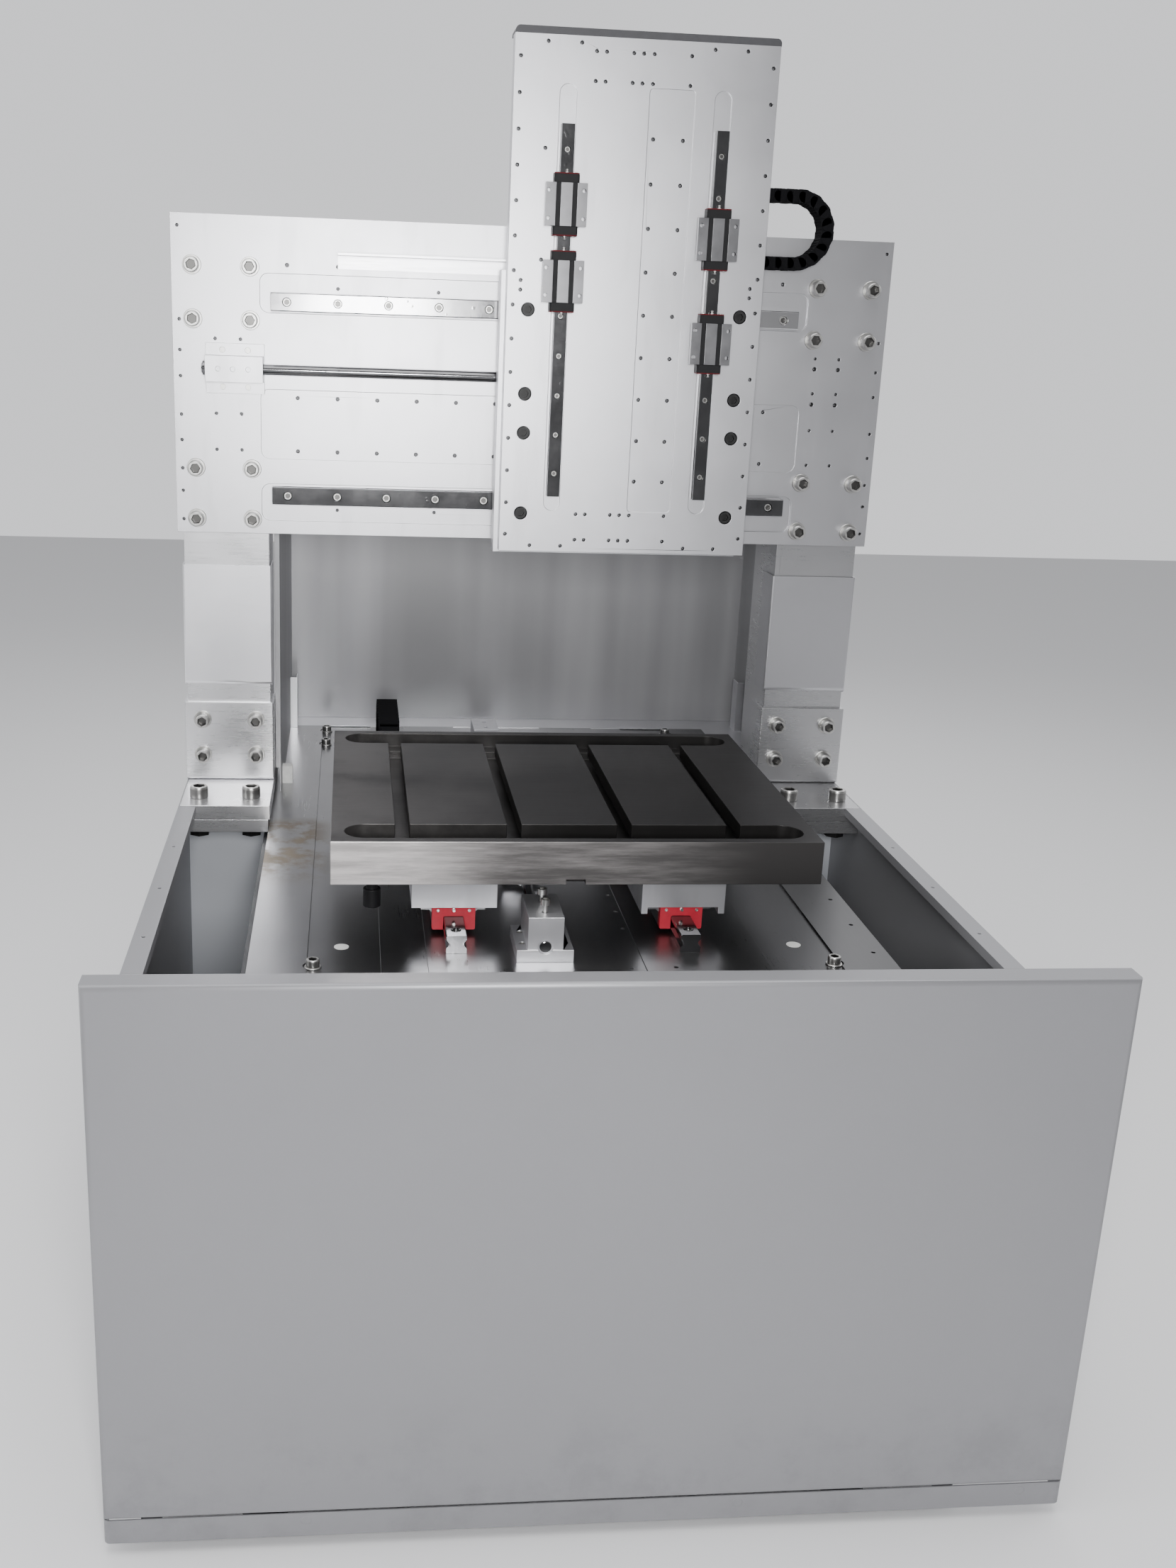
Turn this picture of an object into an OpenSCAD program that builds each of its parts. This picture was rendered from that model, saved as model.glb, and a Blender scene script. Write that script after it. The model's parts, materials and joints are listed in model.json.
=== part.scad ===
// Bench-height three-axis CNC router: sheet-metal cabinet, fixed gantry, moving T-slot table.
// Frame: +X right, +Y to the back, +Z up. Origin on the floor at the centre of the footprint.

/* [Cabinet] */
// Width of the front panel
cab_w = 1341; // [1200:1:1700]
// Overall depth, front panel to rear guard
cab_d = 1466; // [1300:1:1800]
// Height of the front and side panels
panel_h = 815; // [650:1:1000]
// Gap between the floor and the panels
foot_gap = 20; // [16:1:30]
// Thickness of the cabinet sheet
sheet_t = 2; // [1.5:0.1:3]
// Depth of the folded edge round the front panel
front_return = 37; // [25:1:50]
// Bend radius of the folded edges
bend_r = 8; // [5:0.5:12]
// Height of the strip welded along the bottom of the front panel
plinth_h = 37; // [25:1:50]
// Width of the folded flange on top of the side panels
side_flange = 28; // [20:1:36]
// Inner width of the rear guard
guard_w = 943; // [900:1:980]
// Sideways place of the rear guard's left wall, in from the bed's left edge
guard_x = 12; // [10:0.5:20]
// Height of the rear guard above the bed
guard_h = 900; // [600:1:930]

/* [Bed] */
// Width of the machined bed plate
bed_w = 874; // [800:1:1050]
// Thickness of the bed plate
bed_t = 20; // [16:1:30]
// How far the bed surface lies below the top of the panels
bed_drop = 37; // [30:1:50]
// Sideways place of the bed centre
bed_x = -43; // [-50:1:-36]
// Section of the welded frame tubes
tube_s = 60; // [50:1:80]
// Wall of the frame tubes
tube_wall = 4; // [3:0.5:6]

/* [Gantry] */
// Sideways place of the gantry centre
gantry_x = -50; // [-60:1:0]
// Front face of the beam plate
beam_y = 123; // [100:1:160]
// Height of the beam plate
beam_h = 494.5; // [480:0.5:600]
// Thickness of the beam plate
beam_t = 25; // [20:1:35]
// Clear height between the cabinet top and the beam
beam_clear = 429.5; // [340:0.5:520]
// Width of a column tube
col_w = 140; // [120:1:168]
// Depth of a column tube
col_d = 140; // [110:1:168]
// Wall of a column tube
col_wall = 8; // [5:0.5:12]
// Distance between the two screw columns on a column
bolt_dx = 90; // [70:1:100]
// Distance between the bolts through a gantry foot
foot_dx = 86; // [70:1:90]

/* [X axis] */
// Length of the X rails
x_rail_len = 850; // [700:10:1000]
// Distance between the X rails
x_rail_gap = 302; // [260:1:360]
// Carriage centre at rest, from the gantry centre
x_rest = 141; // [100:1:180]
// Width of the screw support body
x_sup_w = 40; // [36:1:50]

/* [Z plate] */
// Width of the Z plate
zp_w = 402; // [380:1:480]
// Height of the Z plate
zp_h = 765; // [700:1:900]
// Thickness of the Z plate
zp_t = 30; // [20:1:36]
// Thickness of the saddle plate behind it
saddle_t = 32; // [26:1:40]
// Length of the Z rails
z_rail_len = 552; // [480:1:640]
// Distance between the Z rails
z_rail_gap = 236; // [200:1:280]

/* [Table] */
// Width of the T-slot table
table_w = 664; // [560:1:780]
// Depth of the T-slot table
table_d = 570; // [480:1:684]
// Thickness of the T-slot table
table_t = 60; // [50:1:72]
// Distance between T-slots
slot_pitch = 153; // [120:1:160]
// Width of a T-slot neck
slot_w = 20; // [16:0.5:24]
// Width of the cross gutters
gutter_w = 58; // [46:1:70]

/* [Y axis] */
// Length of the Y rails
y_rail_len = 1000; // [860:10:1100]
// Distance between the Y rails
y_rail_gap = 320; // [280:1:384]
// Height of the table's underside above the bed
table_lift = 98; // [82:1:118]

/* [Fasteners] */
// Head diameter of the gantry cap screws
m16_head = 24; // [20:1:28]
// Head diameter of the foot bolts
m20_head = 30; // [26:1:34]

/* [Cable chains] */
// Width of a cable chain
chain_w = 38; // [30:1:44]
// Height of a chain link
chain_t = 20; // [16:1:24]
// Bend radius at the middle of the link
chain_r = 51; // [42:1:60]

/* [Hidden] */
$fn = 48;
panel_top = foot_gap + panel_h;
bed_top = panel_top - bed_drop;
bed_front = -cab_d / 2 + front_return + 6;
bed_back = cab_d / 2 - 72;
bed_d = bed_back - bed_front;
front_y = -cab_d / 2;
back_y = cab_d / 2;
// gantry places, worked out from the bed so that the columns always stand beside it
col_x = bed_w / 2 + col_w / 2 - 4;
body_half = col_x + col_w / 2 + 3;
beam_half = col_x + col_w / 2 + 7;
col_front = beam_y + beam_t;
beam_z0 = panel_top + beam_clear;
beam_z1 = beam_z0 + beam_h;
foot_t = 24;
lug_t = 22;
lug_z1 = panel_top - foot_t;
lug_z0 = lug_z1 - lug_t;
nut_h = 18;
foot_front = beam_y - 133;
foot_back = col_front + col_d + 62;
frame_top = bed_top - bed_t;
frame_half = bed_w / 2 + 9;
foot_pad_h = 12;
frame_z0 = 60;
weld = 0.2;
lane_d = 1.5;
gully_d = 3;
fit = 0.06;
gap = 0.3;
// 30-size and 20-size linear guides: [rail w, rail h, block h, flange w, body w, block length, steel length]
G30 = [28, 26, 42, 90, 60, 98, 70];
G20 = [20, 18, 30, 63, 44, 90, 62];
G30_pitch = 80;
G20_pitch = 60;
G30_hole = [7, 4.5, 12];
G20_hole = [4.75, 3, 8.5];
pocket_d = 4;
x_rail_z = beam_z0 + 366.5;
x_rail_z2 = x_rail_z - x_rail_gap;
x_rail_y = beam_y + pocket_d;
car_x = gantry_x + x_rest;
saddle_y1 = x_rail_y - G30[2];
saddle_y0 = saddle_y1 - saddle_t;
zp_y0 = saddle_y0 - zp_t;
zp_z0 = beam_z0 - 5.5;
zp_z1 = zp_z0 + zp_h;
z_rail_z0 = zp_z0 + 90;
z_groove = 2;
top_plate_t = 11;
top_plate_r = 7;
block_s = 135;
screw_r = 8;
screw_h = 20;
x_screw_z = x_rail_z - 104;
x_screw_y = beam_y - screw_h;
x_sup_x0 = gantry_x - beam_half + 52;
x_screw_end = gantry_x + 335;
// screw supports: length, flange width, hole places, sunk heads, and how far the loose screws stand out
sup_l = 92;
sup_flange_w = 77;
sup_hole_x = [26, 66];
sup_hole_y = 28.5;
sup_head = 8.5;
sup_sink = 5.5;
sup_lift_x = [22, 62];
sup_proud = 11;
x_sup_t = 14;
y_sup_t = 16;
y_sup_w = 48;
y_sup_h = 62;
y_rail_front = front_y + 184;
table_x = -40;
table_y0 = front_y + 186;
table_y1 = table_y0 + table_d;
table_z0 = bed_top + table_lift;
table_z1 = table_z0 + table_t;
y_block_s = 160.5;
table_ym = (table_y0 + table_y1) / 2;
block_ym = table_ym - 7.5;
y_screw_x = bed_x - 43;
y_screw_z = bed_top + screw_h;
y_sup_front = y_rail_front - 28;
y_sup_back = y_rail_front + 949;
chain_gap = 1;
shelf_z = x_rail_z + 76;
shelf_t = 3;
shelf_h = 23;
shelf_d = 43;
xc_y = beam_y - 22;
xc_loop = gantry_x + 404;
xc_tail = 220;
yc_x = bed_x - y_rail_gap / 2 - 75;
yc_loop = table_y1 + 358;
yc_tail = 180;
guard_z1 = bed_top + guard_h;
left_wall_y = col_front + 42;
right_wall_y = foot_back + 4;
guard_l = bed_x - bed_w / 2 + guard_x;
guard_r = guard_l + guard_w;
tap_r = 3;
slots = [-1.5, -0.5, 0.5, 1.5];
slot_shift = -6;

// ---------- shared shapes ----------
// box between two corners
module slab(a, b) translate(a) cube([b[0] - a[0], b[1] - a[1], b[2] - a[2]]);

// flat outline with round corners, centred
module rrect(w, h, r) {
    square([w - 2 * r, h], center = true);
    square([w, h - 2 * r], center = true);
    for (x = [-1, 1], y = [-1, 1]) translate([x * (w / 2 - r), y * (h / 2 - r)]) circle(r);
}

// flat outline from the origin to [w, h] with round corners at the y = 0 side only
module front_round(w, h, r) {
    translate([r, 0]) square([w - 2 * r, h]);
    translate([0, r]) square([w, h - r]);
    for (x = [r, w - r]) translate([x, r]) circle(r);
}

// shallow pocket on a face that looks to -Y, between [x0, z0] and [x1, z1]
module face_pocket(x0, z0, x1, z1, y, depth, r)
    translate([(x0 + x1) / 2, y + depth, (z0 + z1) / 2]) rotate([90, 0, 0])
        linear_extrude(depth + 1) rrect(x1 - x0, z1 - z0, r);

// drilled hole on a face that looks to -Y
module face_hole(x, z, y, r, depth) translate([x, y - 1, z]) rotate([-90, 0, 0]) cylinder(r = r, h = depth + 1);

// box tube along Y, X or Z, open at both ends
module tube_y(x, y0, y1, z, w = tube_s, h = tube_s, t = tube_wall)
    difference() {
        slab([x - w / 2, y0, z - h / 2], [x + w / 2, y1, z + h / 2]);
        slab([x - w / 2 + t, y0 - 1, z - h / 2 + t], [x + w / 2 - t, y1 + 1, z + h / 2 - t]);
    }
module tube_x(x0, x1, y, z, w = tube_s, h = tube_s, t = tube_wall)
    difference() {
        slab([x0, y - w / 2, z - h / 2], [x1, y + w / 2, z + h / 2]);
        slab([x0 - 1, y - w / 2 + t, z - h / 2 + t], [x1 + 1, y + w / 2 - t, z + h / 2 - t]);
    }
module tube_z(x, y, z0, z1, w = tube_s, d = tube_s, t = tube_wall)
    difference() {
        slab([x - w / 2, y - d / 2, z0], [x + w / 2, y + d / 2, z1]);
        slab([x - w / 2 + t, y - d / 2 + t, z0 - 1], [x + w / 2 - t, y + d / 2 - t, z1 + 1]);
    }

// socket cap screw, head up, seated at z = 0
module cap_screw(head_d, head_h, shank_r, shank_l, washer = 0) {
    difference() {
        union() {
            translate([0, 0, washer]) cylinder(d = head_d, h = head_h);
            translate([0, 0, -shank_l]) cylinder(r = shank_r, h = shank_l + washer + 1);
        }
        translate([0, 0, washer + head_h * 0.45]) cylinder(r = head_d * 0.33, h = head_h, $fn = 6);
    }
    if (washer > 0) difference() {
        cylinder(d = head_d * 1.25, h = washer);
        translate([0, 0, -1]) cylinder(r = shank_r + 0.4, h = washer + 2);
    }
}

// cross-section of a guide rail, base on y = 0
module rail_2d(g) {
    w = g[0];
    h = g[1];
    half = [[w / 2, 0], [w / 2, h * 0.3], [w * 0.37, h * 0.45], [w * 0.37, h * 0.58],
        [w / 2, h * 0.76], [w / 2, h * 0.95], [w * 0.46, h]];
    polygon(concat(half, [for (i = [len(half) - 1 : -1 : 0]) [-half[i][0], half[i][1]]]));
}

function hole_count(length, pitch) = floor((length - 20) / pitch) + 1;
function hole_at(i, length, pitch) = (i - (hole_count(length, pitch) - 1) / 2) * pitch;

// guide rail along X, centred, base on z = 0, with counterbored holes
module rail(g, length, pitch, hole)
    difference() {
        rotate([90, 0, 90]) translate([0, 0, -length / 2]) linear_extrude(length) rail_2d(g);
        for (i = [0 : hole_count(length, pitch) - 1]) translate([hole_at(i, length, pitch), 0, 0]) {
            translate([0, 0, -1]) cylinder(r = hole[1], h = g[1] + 2);
            translate([0, 0, g[1] - hole[2]]) cylinder(r = hole[0], h = hole[2] + 1);
        }
    }

// the screws of one rail
module rail_bolts(g, length, pitch, hole)
    for (i = [0 : hole_count(length, pitch) - 1]) translate([hole_at(i, length, pitch), 0, g[1] - hole[2]])
        cap_screw(2 * hole[0] - 1, hole[2] - 3, hole[1] - 0.55, g[1] - hole[2] + 10);

// tapped holes below one rail
module rail_taps(length, pitch, hole)
    for (i = [0 : hole_count(length, pitch) - 1]) translate([hole_at(i, length, pitch), 0, -12])
        cylinder(r = hole[1] - 0.5, h = 13);

// cross-section of a guide block over its rail
module block_2d(g, w, clear_z) difference() {
    union() {
        translate([-w / 2, g[2] - g[2] * 0.27]) square([w, g[2] * 0.27]);
        translate([-g[4] / 2, clear_z]) square([g[4], g[2] - clear_z]);
    }
    translate([-g[0] / 2 - gap, 0]) square([g[0] + 2 * gap, g[1] + gap]);
}

// steel body of a guide block along X, with its flange holes
module block_steel(g, hole_dx, hole_dy, hole_r)
    difference() {
        rotate([90, 0, 90]) translate([0, 0, -g[6] / 2]) linear_extrude(g[6]) block_2d(g, g[3], 7);
        for (x = [-1, 1], y = [-1, 1]) translate([x * hole_dx / 2, y * hole_dy / 2, g[2] - 14])
            cylinder(r = hole_r, h = 15);
    }

// the two moulded end caps of a guide block
module block_caps(g)
    for (s = [0, 1]) mirror([s, 0, 0])
        rotate([90, 0, 90]) translate([0, 0, g[6] / 2]) linear_extrude((g[5] - g[6]) / 2)
            difference() {
                translate([-g[4] / 2, 6.5]) square([g[4], g[2] - 7.5]);
                translate([-g[0] / 2 - gap, 0]) square([g[0] + 2 * gap, g[1] + gap]);
            }

module guide_block(g, hole_dx, hole_dy, hole_r) {
    block_steel(g, hole_dx, hole_dy, hole_r);
    block_caps(g);
}

// places for things along the three pairs of rails
module at_x_rail(z) translate([gantry_x, x_rail_y, z]) rotate([90, 0, 0]) children();
module at_y_rail(s) translate([bed_x + s * y_rail_gap / 2, y_rail_front + y_rail_len / 2, bed_top])
    rotate([0, 0, 90]) children();
module at_z_rail(s) translate([car_x + s * z_rail_gap / 2, zp_y0 + z_groove, z_rail_z0 + z_rail_len / 2])
    rotate([90, 0, 0]) rotate([0, 0, 90]) children();

// solid link bar of a cable chain, along X from x0 to x1, centred on its own line
module chain_bar(x0, x1)
    slab([x0, 3.5 - chain_w / 2, 3.5 - chain_t / 2], [x1, chain_w / 2 - 3.5, chain_t / 2 - 3.5]);

// bend of a cable chain that opens to -X, with two hollow tails
module chain_loop(tail) {
    ro = chain_r + chain_t / 2;
    ri = chain_r - chain_t / 2;
    rotate([90, 0, 0]) translate([0, 0, -chain_w / 2]) difference() {
        linear_extrude(chain_w) difference() {
            union() {
                circle(ro);
                translate([-tail, -ro]) square([tail, 2 * ro]);
            }
            circle(ri);
            translate([-tail - 1, -ri]) square([tail + 1, 2 * ri]);
        }
        for (s = [-1, 1]) translate([-tail - 1, s * chain_r - chain_t / 2 + 3, 3])
            cube([tail + 0.5, chain_t - 6, chain_w - 6]);
    }
}

// ---------- cabinet ----------
// open-backed pan with rounded front edges
module pan(w, d, h, r) intersection() {
    translate([-w / 2, 0, 0]) linear_extrude(h) front_round(w, d, r);
    translate([-w / 2, 0, 0]) rotate([90, 0, 90]) linear_extrude(w) union() {
        translate([0, r]) square([d, h - 2 * r]);
        translate([r, 0]) square([d - r, h]);
        for (z = [r, h - r]) translate([r, z]) circle(r);
    }
}

module front_panel() color("darkgray") translate([0, front_y, foot_gap + plinth_h]) difference() {
    pan(cab_w, front_return, panel_h - plinth_h, bend_r);
    translate([0, sheet_t, sheet_t])
        pan(cab_w - 2 * sheet_t, front_return, panel_h - plinth_h - 2 * sheet_t, bend_r - sheet_t);
}

module plinth_strip() color("darkgray") translate([-cab_w / 2, front_y + 0.8, foot_gap]) difference() {
    linear_extrude(plinth_h) front_round(cab_w, front_return - 0.8, bend_r);
    translate([sheet_t, sheet_t, sheet_t]) linear_extrude(plinth_h)
        front_round(cab_w - 2 * sheet_t, front_return, bend_r - sheet_t);
}

// s = -1 left, 1 right
module side_panel(s) {
    xo = gantry_x + s * body_half;
    y0 = front_y + front_return + 0.5;
    fx = xo - s * side_flange;
    module strip(xa, xb, ya, yb, za, zb) slab([min(xa, xb), ya, za], [max(xa, xb), yb, zb]);
    color("darkgray") difference() {
        union() {
            strip(xo, xo - s * sheet_t, y0, back_y, foot_gap, panel_top);
            for (yy = [[y0, foot_front - 0.5], [foot_back + 0.5, back_y]]) {
                strip(xo, fx, yy[0], yy[1], panel_top - sheet_t, panel_top);
                strip(fx, fx + s * sheet_t, yy[0], yy[1], panel_top - 14, panel_top);
            }
            strip(xo, fx, y0, back_y - sheet_t, foot_gap, foot_gap + sheet_t);
        }
        for (k = [0 : 2]) translate([xo - s * side_flange / 2, y0 + 120 + 180 * k, panel_top - 5])
            cylinder(r = 2.5, h = 10);
    }
}
module side_panel_left() side_panel(-1);
module side_panel_right() side_panel(1);

module lower_rear_panel() color("darkgray")
    slab([gantry_x - body_half + sheet_t, back_y - sheet_t, foot_gap],
        [gantry_x + body_half - sheet_t, back_y, bed_top - sheet_t]);

// inner walls that close the two side wells behind the gantry feet
module well_rear_panels() color("lightsteelblue") for (s = [-1, 1])
    slab([s < 0 ? gantry_x - body_half + sheet_t : bed_x + frame_half, beam_y + 5, foot_gap + sheet_t],
        [s < 0 ? bed_x - frame_half : gantry_x + body_half - sheet_t, beam_y + 5 + sheet_t, lug_z0 - 8]);

module rear_wall() color("dimgray") {
    slab([guard_l - sheet_t, back_y - sheet_t, bed_top], [guard_r + sheet_t, back_y, guard_z1]);
    slab([guard_l, back_y - 22, guard_z1 - sheet_t], [guard_r, back_y - sheet_t, guard_z1]);
}

// x = inner face, s = side, y0 = front edge, which is folded outwards
module rear_side_wall(x, s, y0) color("dimgray") {
    x2 = x + s * sheet_t;
    slab([min(x, x2), y0, bed_top], [max(x, x2), back_y - sheet_t, guard_z1]);
    slab([min(x2, x2 + s * 7), y0, bed_top + 45], [max(x2, x2 + s * 7), y0 + sheet_t, guard_z1]);
}
module rear_side_wall_left() rear_side_wall(guard_l, -1, left_wall_y);
module rear_side_wall_right() rear_side_wall(guard_r, 1, right_wall_y);

// ledge behind and beside the bed, with an angle bracket in each rear corner
module rear_floor_sheet() color("silver") {
    bed_r = bed_x + bed_w / 2;
    slab([guard_l - sheet_t, bed_back, bed_top - sheet_t], [max(guard_r + sheet_t, bed_r), back_y, bed_top]);
    if (bed_r < guard_r) slab([bed_r, right_wall_y, bed_top - sheet_t],
        [guard_r + sheet_t, bed_back + 1, bed_top]);
    for (s = [-1, 1]) {
        x = s < 0 ? guard_l + 14 : guard_r - 14;
        slab([min(x, x + s * 14), back_y - 90, bed_top], [max(x, x + s * 14), back_y - 88, bed_top + 105]);
        slab([min(x, x + s * 2), back_y - 90, bed_top], [max(x, x + s * 2), back_y - 50, bed_top + 105]);
    }
}

// ---------- frame and bed ----------
leg_ys = [bed_front + tube_s / 2 + 10, col_front + col_d / 2, bed_back - tube_s / 2];

module base_frame() color("dimgray") {
    zt = frame_top - tube_s / 2;
    zb = frame_z0 + tube_s / 2;
    sx = frame_half - tube_s / 2;
    xi = sx - tube_s / 2 - weld;
    difference() {
        for (s = [-1, 1]) tube_y(bed_x + s * sx, bed_front, bed_back, zt);
        foot_places() translate([0, 0, lug_z0 - nut_h - 4]) cylinder(r = 20, h = 40);
    }
    for (s = [-1, 1]) {
        tube_y(bed_x + s * sx, bed_front, bed_back, zb);
        for (y = leg_ys) tube_z(bed_x + s * sx, y, zb + tube_s / 2 + weld, zt - tube_s / 2 - weld);
        // outriggers that carry the gantry feet
        xa = bed_x + s * (frame_half + weld);
        xb = gantry_x + s * (body_half - sheet_t);
        slab([min(xa, xb), col_front, frame_top - tube_s], [max(xa, xb), col_front + col_d, lug_z0]);
        // stand-offs that hold the front and rear panels
        for (y = [[front_y + sheet_t, bed_front - weld], [bed_back + weld, back_y - sheet_t]])
            slab([bed_x + s * sx - 20, y[0], zt - 20], [bed_x + s * sx + 20, y[1], zt + 20]);
    }
    for (y = concat(leg_ys, [bed_front + bed_d * 0.32])) tube_x(bed_x - xi, bed_x + xi, y, zt);
    for (y = [leg_ys[0], leg_ys[2]]) tube_x(bed_x - xi, bed_x + xi, y, zb);
}

module levelling_feet() color("black") for (s = [-1, 1], y = leg_ys)
    translate([bed_x + s * (frame_half - tube_s / 2), y, 0]) {
        cylinder(r = 35, h = foot_pad_h);
        cylinder(r = 8, h = frame_z0);
        translate([0, 0, frame_z0 - 12]) cylinder(r = 14, h = 12, $fn = 6);
    }

// bed screw places, front row and two rear rows
module bed_screw_places() for (s = [-1, 1], y = [bed_front + 104, bed_back - 140, bed_back - 38])
    translate([bed_x + s * (bed_w / 2 - 86), y, bed_top - gully_d]) children();

module bed_plug_places() for (s = [-1, 1])
    translate([bed_x + s * (y_rail_gap / 2 + 154), bed_front + 174, bed_top - gully_d]) children();

module base_plate() color("lightgray") difference() {
    slab([bed_x - bed_w / 2, bed_front, frame_top], [bed_x + bed_w / 2, bed_back, bed_top]);
    // lanes milled beside the rail seats, and a deeper gully outside them
    slab([bed_x - 90, bed_front - 1, bed_top - lane_d], [bed_x + 90, bed_back + 1, bed_top + 1]);
    for (s = [-1, 1]) {
        xa = bed_x + s * (y_rail_gap / 2 + 40);
        xb = bed_x + s * (y_rail_gap / 2 + 102);
        xc = bed_x + s * (bed_w / 2 - 78);
        slab([min(xa, xb), bed_front - 1, bed_top - lane_d], [max(xa, xb), bed_back + 1, bed_top + 1]);
        slab([min(xb, xc), bed_front - 1, bed_top - gully_d], [max(xb, xc), bed_back + 1, bed_top + 1]);
        at_y_rail(s) rail_taps(y_rail_len, G30_pitch, G30_hole);
    }
    bed_screw_places() {
        translate([0, 0, -bed_t]) cylinder(r = 6.5, h = bed_t + 4);
        cylinder(r = 13, h = gully_d + 1);
    }
    bed_plug_places() translate([0, 0, -5]) cylinder(r = 10, h = 8);
    // tapped holes for limit switches and hoses
    for (i = [0 : 3]) translate([bed_x + 82, bed_front + 232 + 66 * i, bed_top - 10])
        cylinder(r = tap_r, h = 12);
    for (x = [71, 131]) translate([bed_x + x, bed_front + 91, bed_top - 10]) cylinder(r = tap_r, h = 12);
    for (i = [0 : 2]) translate([bed_x + bed_w / 2 - 20, bed_front + 138 + 102 * i, bed_top - 10])
        cylinder(r = tap_r, h = 12);
    support_places_y() translate([0, 0, -12]) cylinder(r = 3, h = 14);
}

module base_plate_screws() color("silver") bed_screw_places() cap_screw(18, 10, 6, bed_t - gully_d, 2.5);

// plugs in the bed's lifting holes, and the block that the left guard wall rests against
module base_plate_plugs() color("white") {
    bed_plug_places() translate([0, 0, -5]) cylinder(r = 9.95, h = 5.4);
    slab([guard_l + 0.2, left_wall_y + 56, bed_top], [guard_l + 18, left_wall_y + 74, bed_top + 32]);
}

// ---------- gantry ----------
module column(s) color("silver") difference() {
    tube_z(gantry_x + s * col_x, col_front + col_d / 2, panel_top, beam_z1 - 18, col_w, col_d, col_wall);
    beam_bolt_places() if (s * ($bx - gantry_x) > 0) rotate([-90, 0, 0]) cylinder(r = 8.1, h = col_wall + 40);
    bracket_screw_places(s) rotate([-90, 0, 0]) cylinder(r = 8.1, h = col_wall + 30);
}
module column_left() column(-1);
module column_right() column(1);

// sheet cover round the front and sides of the column, rounded along its lower edge
module column_shrouds() color("gainsboro") for (s = [-1, 1]) {
    z0 = beam_z0 - 263;
    z1 = beam_z0 - 57;
    w = col_w + 7;
    translate([gantry_x + s * col_x, col_front - 4, 0]) difference() {
        intersection() {
            translate([-w / 2, 0, z0]) linear_extrude(z1 - z0) front_round(w, 64, 3);
            translate([-w / 2, 0, 0]) rotate([90, 0, 90]) linear_extrude(w) union() {
                translate([0, z0 + 10]) square([64, z1 - z0 - 10]);
                translate([10, z0]) square([54, 20]);
                translate([10, z0 + 10]) circle(10);
            }
        }
        slab([-col_w / 2 - 1.5, 2.5, z0 - 1], [col_w / 2 + 1.5, 70, z1 + 1]);
    }
}

module bracket_screw_places(s) for (x = [-1, 1], z = [46, 108])
    translate([gantry_x + s * col_x + x * bolt_dx / 2, col_front - 8, panel_top + z]) children();

module column_brackets() color("silver") for (s = [-1, 1]) difference() {
    translate([gantry_x + s * col_x, col_front - 8, panel_top]) intersection() {
        translate([-col_w / 2 - 5, 0, 0]) linear_extrude(138) front_round(col_w + 10, 70, 2.5);
        translate([-col_w / 2 - 5, 0, 0]) rotate([90, 0, 90]) linear_extrude(col_w + 10) union() {
            translate([0, 7]) square([70, 131]);
            translate([7, 0]) square([63, 20]);
            translate([7, 7]) circle(7);
        }
    }
    slab([gantry_x + s * col_x - col_w / 2, col_front, panel_top - 1],
        [gantry_x + s * col_x + col_w / 2, col_front + 80, panel_top + 140]);
    bracket_screw_places(s) translate([0, -1, 0]) rotate([-90, 0, 0]) cylinder(r = 8.5, h = 12);
}

// bracket screws and the big bolts through the gantry feet
module column_screws() color("silver") {
    for (s = [-1, 1]) bracket_screw_places(s) rotate([90, 0, 0]) cap_screw(m16_head, 16, 8, 8 + col_wall, 2.5);
    foot_places() translate([0, 0, panel_top]) cap_screw(m20_head, 20, 10, foot_t + lug_t + nut_h + 3);
}

module foot_places() for (s = [-1, 1], x = [-1, 1], y = [foot_front + 48, foot_back - 28])
    translate([gantry_x + s * (col_x + 1) + x * foot_dx / 2, y, 0]) children();

// upper plates under the columns, and the lugs of the frame that they are bolted to
module foot_plates() color("silver") difference() {
    for (s = [-1, 1]) {
        xo = gantry_x + s * (body_half - sheet_t);
        xi = gantry_x + s * (col_x - col_w / 2 - 5);
        xl = bed_x + s * (bed_w / 2 + 1);
        slab([min(xo, xi), foot_front, lug_z1], [max(xo, xi), foot_back, panel_top]);
        slab([min(xo, xl), foot_front + 1, lug_z0], [max(xo, xl), foot_back, lug_z1 - weld]);
    }
    foot_places() translate([0, 0, lug_z0 - 1]) cylinder(r = 10.5, h = lug_t + foot_t + 2);
}

module foot_nuts() color("black") foot_places() translate([0, 0, lug_z0 - nut_h]) difference() {
    rotate([0, 0, 30]) cylinder(r = 17.3, h = nut_h, $fn = 6);
    translate([0, 0, -1]) cylinder(r = 10 + fit, h = nut_h + 2);
}

// gantry screws: four rows, two columns on each side; $bx is the X place of the current one
module beam_bolt_places() for (s = [-1, 1], x = [-1, 1], z = [51.6, -29.6, -261.6, -342.8]) {
    $bx = gantry_x + s * col_x + x * bolt_dx / 2;
    translate([$bx, beam_y, x_rail_z + z]) children();
}

// screw places of a support block, drive-end places included
module support_places_x() for (x = sup_hole_x, z = [-sup_hole_y, sup_hole_y])
    translate([x_sup_x0 + x, beam_y, x_screw_z + z]) rotate([90, 0, 0]) children();
module drive_places_x() for (x = [465, 505], z = [-sup_hole_y, sup_hole_y])
    translate([gantry_x + x, beam_y, x_screw_z + z]) rotate([90, 0, 0]) children();

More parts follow.
